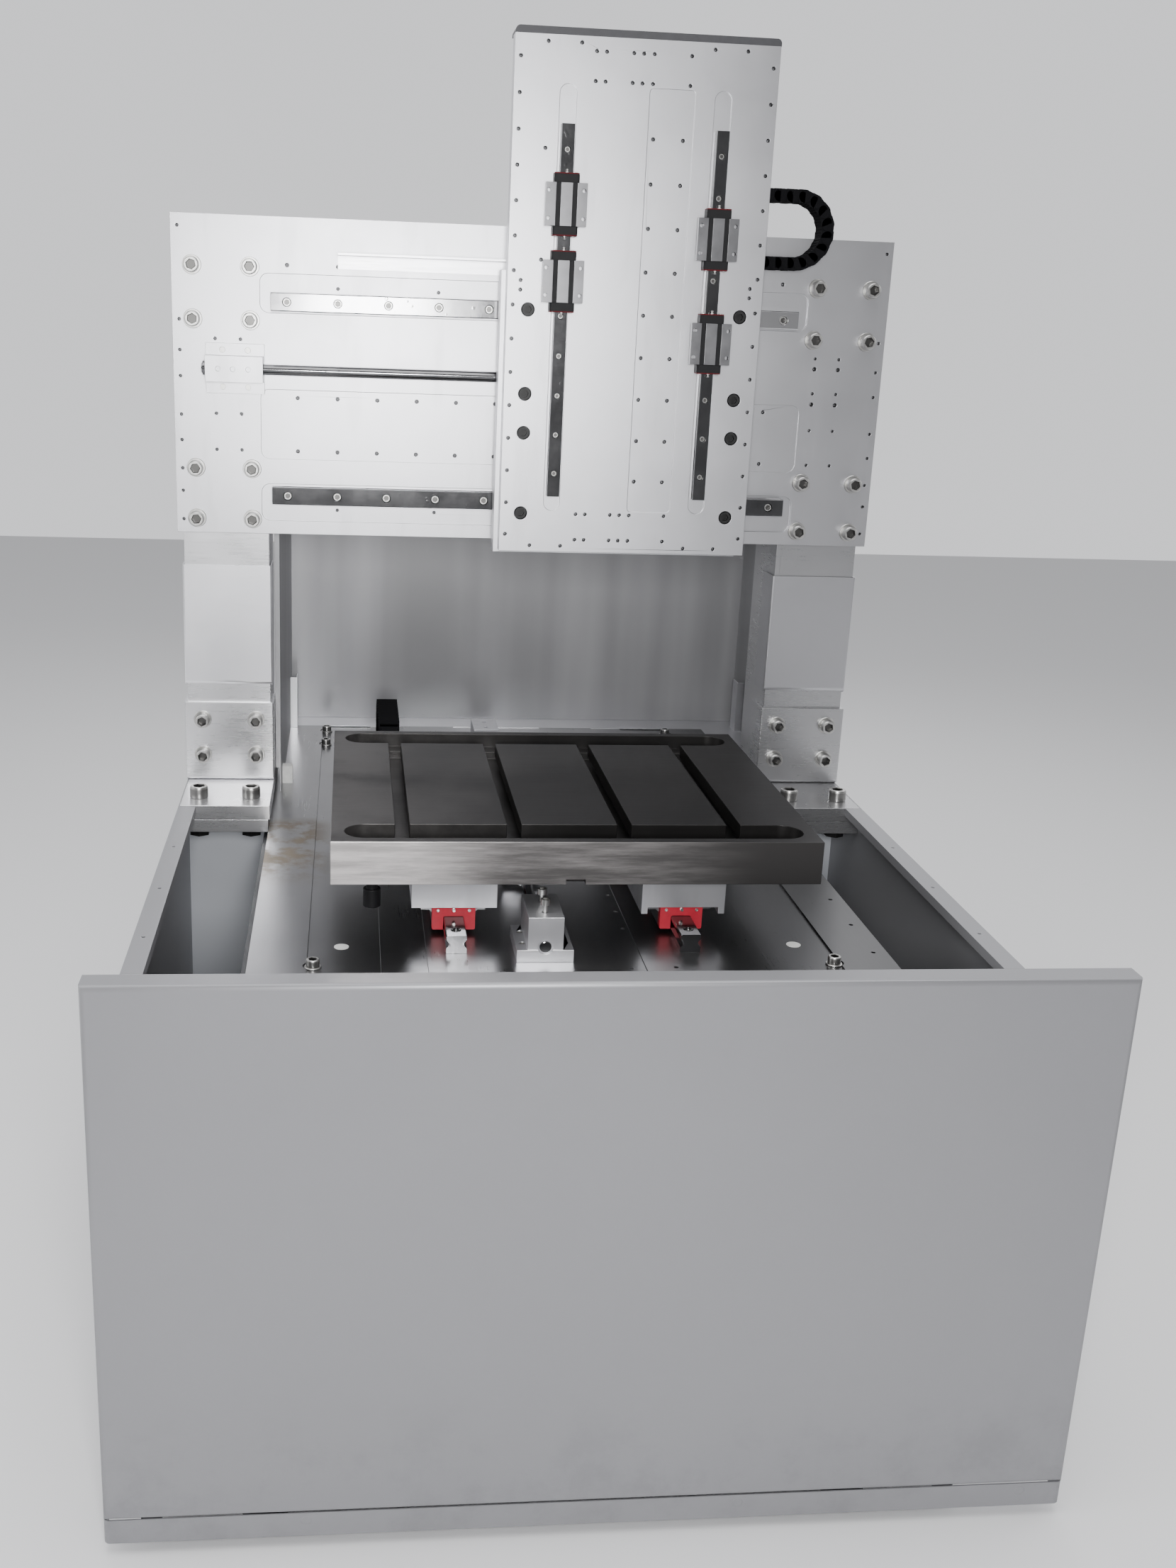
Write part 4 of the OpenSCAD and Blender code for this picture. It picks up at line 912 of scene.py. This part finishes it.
def guide_blocks(prefix, g, places, body, caps_finish, seal_finish, replaced):
    """All visible parts of the guide blocks of one body: steel, covers, caps, seals and fittings."""
    seal = 1.6 * MM
    cap = (g["length"] - g["steel"]) / 2.0 - seal
    parts = [
        ("steel", block_steel_mesh(g), "block_steel", "block_steel"),
        ("covers", block_strips_mesh(g), "black_nylon", "block_black"),
        ("caps", block_caps_mesh(g, cap, 0.0), caps_finish, "block_black"),
        ("seals", block_caps_mesh(g, seal, cap), seal_finish, "cap_red"),
        ("fittings", block_fittings_mesh(g), "nickel", "bright_screw"),
    ]
    for i, (name, mesh, cover, slot) in enumerate(parts):
        add_piece(f"{prefix}_{name}", copies(mesh, places), body, finish(cover),
                  replaced if i == 0 else ())
        bpy.data.meshes.remove(mesh)


# ---------------------------------------------------------------- cable chains
def link_mesh(width, height, pitch):
    """One chain link along X: two round-ended side plates and ribbed bars above and below."""
    bm = bmesh.new()
    wall, ribs = 3.0 * MM, 5

    def box(x0, x1, y0, y1, z0, z1):
        at = Matrix.Translation(((x0 + x1) / 2.0, (y0 + y1) / 2.0, (z0 + z1) / 2.0))
        size = Matrix.Diagonal((x1 - x0, y1 - y0, z1 - z0, 1.0))
        bmesh.ops.create_cube(bm, size=1.0, matrix=at @ size)

    for s in (-1, 1):
        # the front half of each plate steps inwards, so that it nests in the next link
        for x, outer, inner, radius in ((-pitch * 0.5, width / 2.0, width / 2.0 - wall, height / 2.0),
                                        (pitch * 0.5, width / 2.0 - 0.8 * MM, width / 2.0 - wall,
                                         height / 2.0 - 0.5 * MM)):
            depth, middle = outer - inner, s * (outer + inner) / 2.0
            turn = Matrix.Rotation(math.pi / 2.0, 4, "X")
            bmesh.ops.create_cone(bm, cap_ends=True, segments=20, radius1=radius, radius2=radius,
                                  depth=depth, matrix=Matrix.Translation((x, middle, 0.0)) @ turn)
            box(min(x, 0.0), max(x, 0.0), middle - depth / 2.0, middle + depth / 2.0, -radius, radius)
    for z in (-1, 1):
        outer, root, inner = height / 2.0 - 0.2 * MM, height / 2.0 - 1.2 * MM, height / 2.0 - 2.4 * MM
        side = width / 2.0 - wall * 0.5
        box(-pitch * 0.62, pitch * 0.60, -side, side, min(z * root, z * inner), max(z * root, z * inner))
        for i in range(ribs):
            x = (i - (ribs - 1) / 2.0) * pitch * 0.235
            half = pitch * 0.075
            box(x - half, x + half, -side, side, min(z * root, z * outer), max(z * root, z * outer))
    return mesh_from(bm, "link", 40.0)


def arc(centre, radius, start, end, steps, axis):
    """Points on an arc in the plane of axis and Z, by angle from straight down."""
    points = []
    for i in range(steps + 1):
        a = start + (end - start) * i / steps
        offset = Vector((math.sin(a) * radius, 0.0, -math.cos(a) * radius))
        if axis == "Y":
            offset = Vector((0.0, offset.x, offset.z))
        points.append(Vector(centre) + offset)
    return points


def chain_run(name, points, side, size, body, replaced=()):
    """Links along a line of points."""
    pitch = bpy.context.scene.router_sizes.link_pitch
    tree, ids = chain_tree()
    thing = prototype("link", link_mesh(size[0], size[1], pitch))
    made = run_tree(tree, ids, line_mesh(points), {
        "Link": thing, "Pitch": pitch, "Side": side, "Finish": finish("chain_nylon")})
    bpy.data.objects.remove(thing)
    bpy.data.node_groups.remove(tree)
    smooth(made, 40.0)
    return add_piece(name, made, body, finish("chain_nylon"), replaced)


def drawn_back(node, i, by):
    """A copy of a chain bar whose free end stops short of the bend's first turned link."""
    mesh = frame["nodes"][node].data.copy()
    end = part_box(node)[1][i]
    for vertex in mesh.vertices:
        if vertex.co[i] > end - 0.5 * MM:
            vertex.co[i] -= by
    return mesh


def whole_chain(prefix, axis):
    """Bend with two straight runs on its own body, and slimmer links over the fixed and moving bars."""
    low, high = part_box(prefix + "_chain_loop")
    pitch = bpy.context.scene.router_sizes.link_pitch
    i = 0 if axis == "X" else 1
    height = 20 * MM
    width = (high.y - low.y) if axis == "X" else (high.x - low.x)
    radius = (high.z - low.z - height) / 2.0
    centre = (low + high) / 2.0
    centre[i] = high[i] - (high.z - low.z) / 2.0
    start = centre.copy()
    start[i] = low[i] + pitch / 2.0 + height / 2.0
    down, up = start.copy(), start.copy()
    down.z, up.z = centre.z - radius, centre.z + radius
    side = (0.0, 1.0, 0.0) if axis == "X" else (1.0, 0.0, 0.0)
    line = [down] + arc(centre, radius, 0.0, math.pi, 36, axis) + [up]
    chain_run(prefix + "_chain_links", line, side, (width, height), prefix + "_chain_loop_body",
              (prefix + "_chain_loop",))
    for node, z, body in ((prefix + "_chain_lower", down.z, "machine"),
                          (prefix + "_chain_upper", up.z, "x_carriage" if axis == "X" else "table")):
        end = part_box(node)[1][i]
        tail = centre[i] - low[i]
        first, last = centre.copy(), centre.copy()
        first[i], last[i] = end - tail + pitch * 0.55, end - pitch * 1.65
        first.z = last.z = z
        chain_run(node + "_links", [first, last], side, (31.8 * MM, 13.8 * MM), body)
        add_piece(node + "_bar", drawn_back(node, i, pitch), body, finish("chain_nylon"),
                  (node,))


# ---------------------------------------------------------------- settings
class RouterColours(bpy.types.PropertyGroup):
    panel: bpy.props.FloatVectorProperty(
        name="Cabinet paint", description="Silver-grey coat of the cabinet", subtype="COLOR",
        size=3, min=0.0, max=1.0, default=(0.30, 0.30, 0.315))
    guard: bpy.props.FloatVectorProperty(
        name="Guard paint", description="Coat of the rear guard", subtype="COLOR",
        size=3, min=0.0, max=1.0, default=(0.31, 0.31, 0.32))
    steel: bpy.props.FloatVectorProperty(
        name="Ground steel", description="Bed plate, columns and feet", subtype="COLOR",
        size=3, min=0.0, max=1.0, default=(0.46, 0.46, 0.47))
    aluminium: bpy.props.FloatVectorProperty(
        name="Blasted aluminium", description="Beam and carriage plates", subtype="COLOR",
        size=3, min=0.0, max=1.0, default=(0.66, 0.66, 0.685))
    iron: bpy.props.FloatVectorProperty(
        name="Cast iron", description="Milled table", subtype="COLOR",
        size=3, min=0.0, max=1.0, default=(0.060, 0.057, 0.056))
    cap_red: bpy.props.FloatVectorProperty(
        name="End caps", description="Moulded caps of the table's guide blocks", subtype="COLOR",
        size=3, min=0.0, max=1.0, default=(0.42, 0.012, 0.03))


class RouterSizes(bpy.types.PropertyGroup):
    edge: bpy.props.FloatProperty(
        name="Broken edge", description="Width of the chamfer on machined plates", unit="LENGTH",
        min=0.0001, max=0.002, default=0.0006)
    link_pitch: bpy.props.FloatProperty(
        name="Chain pitch", description="Length of one cable chain link", unit="LENGTH",
        min=0.015, max=0.03, default=0.02)
    knurls: bpy.props.IntProperty(
        name="Knurls", description="Ridges round a cap screw's head", min=18, max=48, default=30)


class RouterStage(bpy.types.PropertyGroup):
    lens: bpy.props.FloatProperty(
        name="Lens", description="Focal length on a 36 mm wide picture", unit="CAMERA",
        min=20.0, max=120.0, default=47.889)
    front_power: bpy.props.FloatProperty(
        name="Front light", description="Power of the light beside the viewer", unit="POWER",
        min=1.0, max=1000.0, default=48.0)
    top_power: bpy.props.FloatProperty(
        name="Top light", description="Power of the wide light overhead", unit="POWER",
        min=1.0, max=1000.0, default=120.0)
    side_power: bpy.props.FloatProperty(
        name="Side lights", description="Power of the soft lights at the sides", unit="POWER",
        min=1.0, max=1000.0, default=35.0)
    sky_back: bpy.props.FloatProperty(
        name="Background", description="Brightness behind the machine", min=0.0, max=3.0, default=1.0)
    sky_front: bpy.props.FloatProperty(
        name="Room", description="Brightness of the dimmer room behind the viewer", min=0.0, max=3.0,
        default=0.22)


# ---------------------------------------------------------------- operators
class ROUTER_OT_cabinet(bpy.types.Operator):
    """Front, side and rear panels, the inner partitions and the rear guard"""

    bl_idname = "router.cabinet"
    bl_label = "Cabinet"

    def execute(self, context):
        for node in ("front_panel", "plinth_strip"):
            softened(node, "panel_paint", 0.0, 40.0)
        for node in ("side_panel_left", "side_panel_right"):
            softened(node, "panel_paint", 0.0005)
        paint(["lower_rear_panel"], "panel_paint")
        paint(["well_rear_panels"], "well_paint")
        for node in ("rear_wall", "rear_side_wall_left", "rear_side_wall_right"):
            softened(node, "guard_paint", 0.0005)
        softened("rear_floor_sheet", "zinc_sheet", 0.0005)
        return {"FINISHED"}


class ROUTER_OT_bed(bpy.types.Operator):
    """Welded frame, feet, ground bed plate with its screws and plugs"""

    bl_idname = "router.bed"
    bl_label = "Frame and bed"

    def execute(self, context):
        knurls = context.scene.router_sizes.knurls
        paint(["base_frame"], "frame_paint")
        paint(["levelling_feet"], "foot_rubber")
        paint(["base_plate_plugs"], "white_nylon")
        softened("base_plate", "ground_steel", context.scene.router_sizes.edge * 0.6)
        head, washer = 10 * MM, 2.5 * MM
        seats = [((a.x + b.x) / 2.0, (a.y + b.y) / 2.0, b.z - head - washer)
                 for a, b in solid_boxes("base_plate_screws")]
        fasteners("bed_screws", cap_screw_mesh("bed_screw", 18 * MM, head, 22.5 * MM, washer, knurls),
                  seats, FACE_UP, "machine", "nickel", ("base_plate_screws",))
        return {"FINISHED"}


class ROUTER_OT_gantry(bpy.types.Operator):
    """Columns, covers, brackets, feet, beam plate and their screws"""

    bl_idname = "router.gantry"
    bl_label = "Gantry"

    def execute(self, context):
        edge = context.scene.router_sizes.edge
        knurls = context.scene.router_sizes.knurls
        for node in ("column_left", "column_right"):
            softened(node, "machined_steel", 0.0015)
        softened("column_shrouds", "zinc_sheet", 0.0, 40.0)
        softened("column_brackets", "machined_steel", edge, 40.0)
        softened("foot_plates", "machined_steel", edge * 1.4)
        softened("beam_plate", "beam_aluminium", edge)
        paint(["foot_nuts"], "black_oxide")
        paint(["chain_shelf"], "zinc_sheet")
        boxes = solid_boxes("column_screws")
        flat = [(a, b) for a, b in boxes if b.z - a.z < b.y - a.y]
        upright = [(a, b) for a, b in boxes if b.z - a.z > b.y - a.y]
        front = [((a.x + b.x) / 2.0, a.y + 18.5 * MM, (a.z + b.z) / 2.0) for a, b in flat]
        m16 = cap_screw_mesh("m16", 24 * MM, 16 * MM, 30 * MM, 2.5 * MM, knurls)
        fasteners("bracket_screws", m16, front, FACE_FRONT, "machine", "nickel",
                  ("column_screws",))
        seats = [((a.x + b.x) / 2.0, (a.y + b.y) / 2.0, b.z - 20 * MM) for a, b in upright]
        m20 = cap_screw_mesh("m20", 30 * MM, 20 * MM, 30 * MM, 0.0, knurls)
        fasteners("foot_bolts", m20, seats, FACE_UP, "machine", "nickel")
        boxes = solid_boxes("beam_screws")
        seats = [((a.x + b.x) / 2.0, a.y + 19 * MM, (a.z + b.z) / 2.0) for a, b in boxes]
        m16 = cap_screw_mesh("m16", 24 * MM, 16 * MM, 30 * MM, 3 * MM, knurls)
        fasteners("beam_cap_screws", m16, seats, FACE_FRONT, "machine", "nickel",
                  ("beam_screws",))
        return {"FINISHED"}


class ROUTER_OT_guides(bpy.types.Operator):
    """Linear rails and the guide blocks on them"""

    bl_idname = "router.guides"
    bl_label = "Rails and blocks"

    def execute(self, context):
        for node in ("x_rail_upper", "x_rail_lower", "y_rail_left", "y_rail_right", "z_rails"):
            softened(node, "rail_steel", 0.0003, 25.0)
        m8 = (13 * MM, 9 * MM)
        lying = [(a, b) for a, b in solid_boxes("rail_screws") if b.y - a.y > b.x - a.x + 2 * MM]
        upright = [(a, b) for a, b in solid_boxes("rail_screws") if b.z - a.z > b.x - a.x + 2 * MM]
        seats = [((a.x + b.x) / 2.0, a.y + m8[1], (a.z + b.z) / 2.0) for a, b in lying]
        fasteners("x_rail_bolts", cap_screw_mesh("m8", *m8, 0.0, 0.0, 22), seats, FACE_FRONT, "machine",
                  "nickel", ("rail_screws",))
        seats = [((a.x + b.x) / 2.0, (a.y + b.y) / 2.0, b.z - m8[1]) for a, b in upright]
        fasteners("y_rail_bolts", cap_screw_mesh("m8", *m8, 0.0, 0.0, 22), seats, FACE_UP, "machine",
                  "nickel")
        m5 = (8.5 * MM, 5.5 * MM)
        seats = [((a.x + b.x) / 2.0, a.y + m5[1], (a.z + b.z) / 2.0)
                 for a, b in solid_boxes("z_rail_screws")]
        fasteners("z_rail_bolts", cap_screw_mesh("m5", *m5, 0.0, 0.0, 18), seats, FACE_FRONT,
                  BODY_OF["z_rail_screws"], "nickel", ("z_rail_screws",))
        along_z = Matrix.Rotation(math.pi / 2.0, 4, "X") @ Matrix.Rotation(math.pi / 2.0, 4, "Z")
        for name in ("left_upper", "left_lower", "right_upper", "right_lower"):
            node = "z_block_" + name
            a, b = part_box(node)
            foot = Vector(((a.x + b.x) / 2.0, a.y + GUIDE_20["height"], (a.z + b.z) / 2.0))
            guide_blocks("z_block_" + name, GUIDE_20, [Matrix.Translation(foot) @ along_z],
                         node + "_body", "black_nylon", "dark_seal", (node,))
        along_y = Matrix.Rotation(math.pi / 2.0, 4, "Z")
        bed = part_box("y_rail_left")[0].z
        places = [Matrix.Translation(((a.x + b.x) / 2.0, (a.y + b.y) / 2.0, bed)) @ along_y
                  for a, b in solid_boxes("y_blocks")]
        guide_blocks("y_block", GUIDE_30, places, "table", "red_nylon", "red_nylon",
                     ("y_blocks", "y_block_end_caps"))
        lying = Matrix.Rotation(math.pi / 2.0, 4, "X")
        places = []
        for a, b in solid_boxes("x_blocks"):
            if b.x - a.x > 60 * MM and b.z - a.z > 80 * MM:
                places.append(Matrix.Translation(
                    ((a.x + b.x) / 2.0, a.y + GUIDE_30["height"], (a.z + b.z) / 2.0)) @ lying)
        guide_blocks("x_block", GUIDE_30, places, "x_carriage", "black_nylon", "red_nylon", ("x_blocks",))
        return {"FINISHED"}


class ROUTER_OT_drives(bpy.types.Operator):
    """Screw shafts, their supports and nuts"""

    bl_idname = "router.drives"
    bl_label = "Screw drives"

    def execute(self, context):
        edge = context.scene.router_sizes.edge
        for node in ("y_screw_support_front", "y_screw_support_rear", "x_ball_nut", "y_ball_nut"):
            softened(node, "blasted_aluminium", edge)
        softened("x_screw_support", "blasted_aluminium", edge * 0.5)
        softened("x_screw", "rail_steel", 0.0004, 25.0)
        softened("y_screw", "rail_steel", 0.0012, 25.0)
        paint(["support_screws"], "nickel")
        return {"FINISHED"}


class ROUTER_OT_chains(bpy.types.Operator):
    """Cable chains of the carriage and the table"""

    bl_idname = "router.chains"
    bl_label = "Cable chains"

    def execute(self, context):
        whole_chain("x", "X")
        whole_chain("y", "Y")
        return {"FINISHED"}


class ROUTER_OT_carriage(bpy.types.Operator):
    """Saddle, Z plate with its black screws, and the plate on top"""

    bl_idname = "router.carriage"
    bl_label = "Carriage"

    def execute(self, context):
        edge = context.scene.router_sizes.edge
        softened("z_plate", "z_aluminium", edge)
        softened("saddle_plate", "blasted_aluminium", edge)
        softened("z_top_plate", "dark_plate", edge, 40.0)
        paint(["saddle_screws"], "black_oxide")
        return {"FINISHED"}


class ROUTER_OT_table(bpy.types.Operator):
    """T-slot table, its packing blocks and bumper"""

    bl_idname = "router.table"
    bl_label = "Table"

    def execute(self, context):
        edge = context.scene.router_sizes.edge
        softened("t_slot_table", "cast_iron", edge * 1.4)
        softened("table_spacers", "blasted_aluminium", edge)
        softened("table_bumper", "black_nylon", 0.001, 25.0)
        return {"FINISHED"}


class ROUTER_OT_stage(bpy.types.Operator):
    """Pale floor and surroundings, soft lights and the camera"""

    bl_idname = "router.stage"
    bl_label = "Stage"

    def execute(self, context):
        scene = context.scene
        settings = scene.router_stage
        bm = bmesh.new()
        bmesh.ops.create_grid(bm, x_segments=2, y_segments=2, size=9.0)
        floor = prototype("floor", mesh_from(bm, "floor"))
        floor.data.materials.append(floor_paint((0.86, 0.86, 0.87)))
        world = bpy.data.worlds.new("surroundings")
        world.use_nodes = True
        tree = world.node_tree
        background = tree.nodes["Background"]
        background.inputs["Color"].default_value = (0.97, 0.975, 1.0, 1.0)
        towards = tree.nodes.new("ShaderNodeTexCoord")
        parts = tree.nodes.new("ShaderNodeSeparateXYZ")
        level = tree.nodes.new("ShaderNodeMapRange")
        level.interpolation_type = "SMOOTHSTEP"
        level.inputs["From Min"].default_value = -0.35
        level.inputs["From Max"].default_value = 0.75
        level.inputs["To Min"].default_value = settings.sky_front
        level.inputs["To Max"].default_value = settings.sky_back
        tree.links.new(towards.outputs["Generated"], parts.inputs["Vector"])
        tree.links.new(parts.outputs["Y"], level.inputs["Value"])
        tree.links.new(level.outputs["Result"], background.inputs["Strength"])
        scene.world = world
        middle = Vector((0.0, 0.0, 1.1))
        for name, place, size, power in (
                ("front", (-0.30, -2.62, 1.66), 0.42, settings.front_power),
                ("top", (-0.3, -1.0, 4.4), 3.0, settings.top_power),
                ("side_left", (-3.2, -0.8, 2.4), 1.8, settings.side_power),
                ("side_right", (3.4, 0.6, 2.6), 1.8, settings.side_power * 0.6),
                ("back", (0.6, 3.6, 3.2), 2.0, settings.side_power)):
            light = bpy.data.lights.new(name, "AREA")
            light.shape = "RECTANGLE"
            light.size = size
            light.size_y = size * 1.3
            light.energy = power
            lamp = bpy.data.objects.new(name, light)
            lamp.location = place
            lamp.rotation_euler = (middle - Vector(place)).to_track_quat("-Z", "Y").to_euler()
            scene.collection.objects.link(lamp)
        camera = bpy.data.cameras.new("view")
        camera.lens = settings.lens
        camera.sensor_fit = "HORIZONTAL"
        camera.sensor_width = 36.0
        camera.shift_x = 0.0666
        camera.shift_y = 0.0016
        camera.clip_end = 60.0
        eye = bpy.data.objects.new("view", camera)
        eye.location = (-0.34765, -2.49615, 1.62091)
        eye.rotation_euler = tuple(math.radians(a) for a in (73.314, -1.999, -5.513))
        scene.collection.objects.link(eye)
        scene.camera = eye
        return {"FINISHED"}


class ROUTER_PT_looks(bpy.types.Panel):
    """Steps that dress the router, in order"""

    bl_idname = "ROUTER_PT_looks"
    bl_label = "CNC router"
    bl_space_type = "VIEW_3D"
    bl_region_type = "UI"
    bl_category = "Router"

    def draw(self, context):
        for operator in OPERATORS:
            self.layout.operator(operator.bl_idname)
        for group in ("router_colours", "router_sizes", "router_stage"):
            settings = getattr(context.scene, group)
            for name in settings.__annotations__:
                self.layout.prop(settings, name)


GROUPS = {"router_colours": RouterColours, "router_sizes": RouterSizes, "router_stage": RouterStage}
OPERATORS = (ROUTER_OT_stage, ROUTER_OT_cabinet, ROUTER_OT_bed, ROUTER_OT_gantry, ROUTER_OT_guides,
             ROUTER_OT_drives, ROUTER_OT_chains, ROUTER_OT_carriage, ROUTER_OT_table)


def register():
    for cls in (*GROUPS.values(), *OPERATORS, ROUTER_PT_looks):
        bpy.utils.register_class(cls)
    for name, cls in GROUPS.items():
        setattr(bpy.types.Scene, name, bpy.props.PointerProperty(type=cls))


def unregister():
    for name in GROUPS:
        delattr(bpy.types.Scene, name)
    for cls in (ROUTER_PT_looks, *OPERATORS[::-1], *list(GROUPS.values())[::-1]):
        bpy.utils.unregister_class(cls)


def main():
    register()
    for operator in OPERATORS:
        group, name = operator.bl_idname.split(".")
        getattr(getattr(bpy.ops, group), name)()


if __name__ == "__main__":
    main()
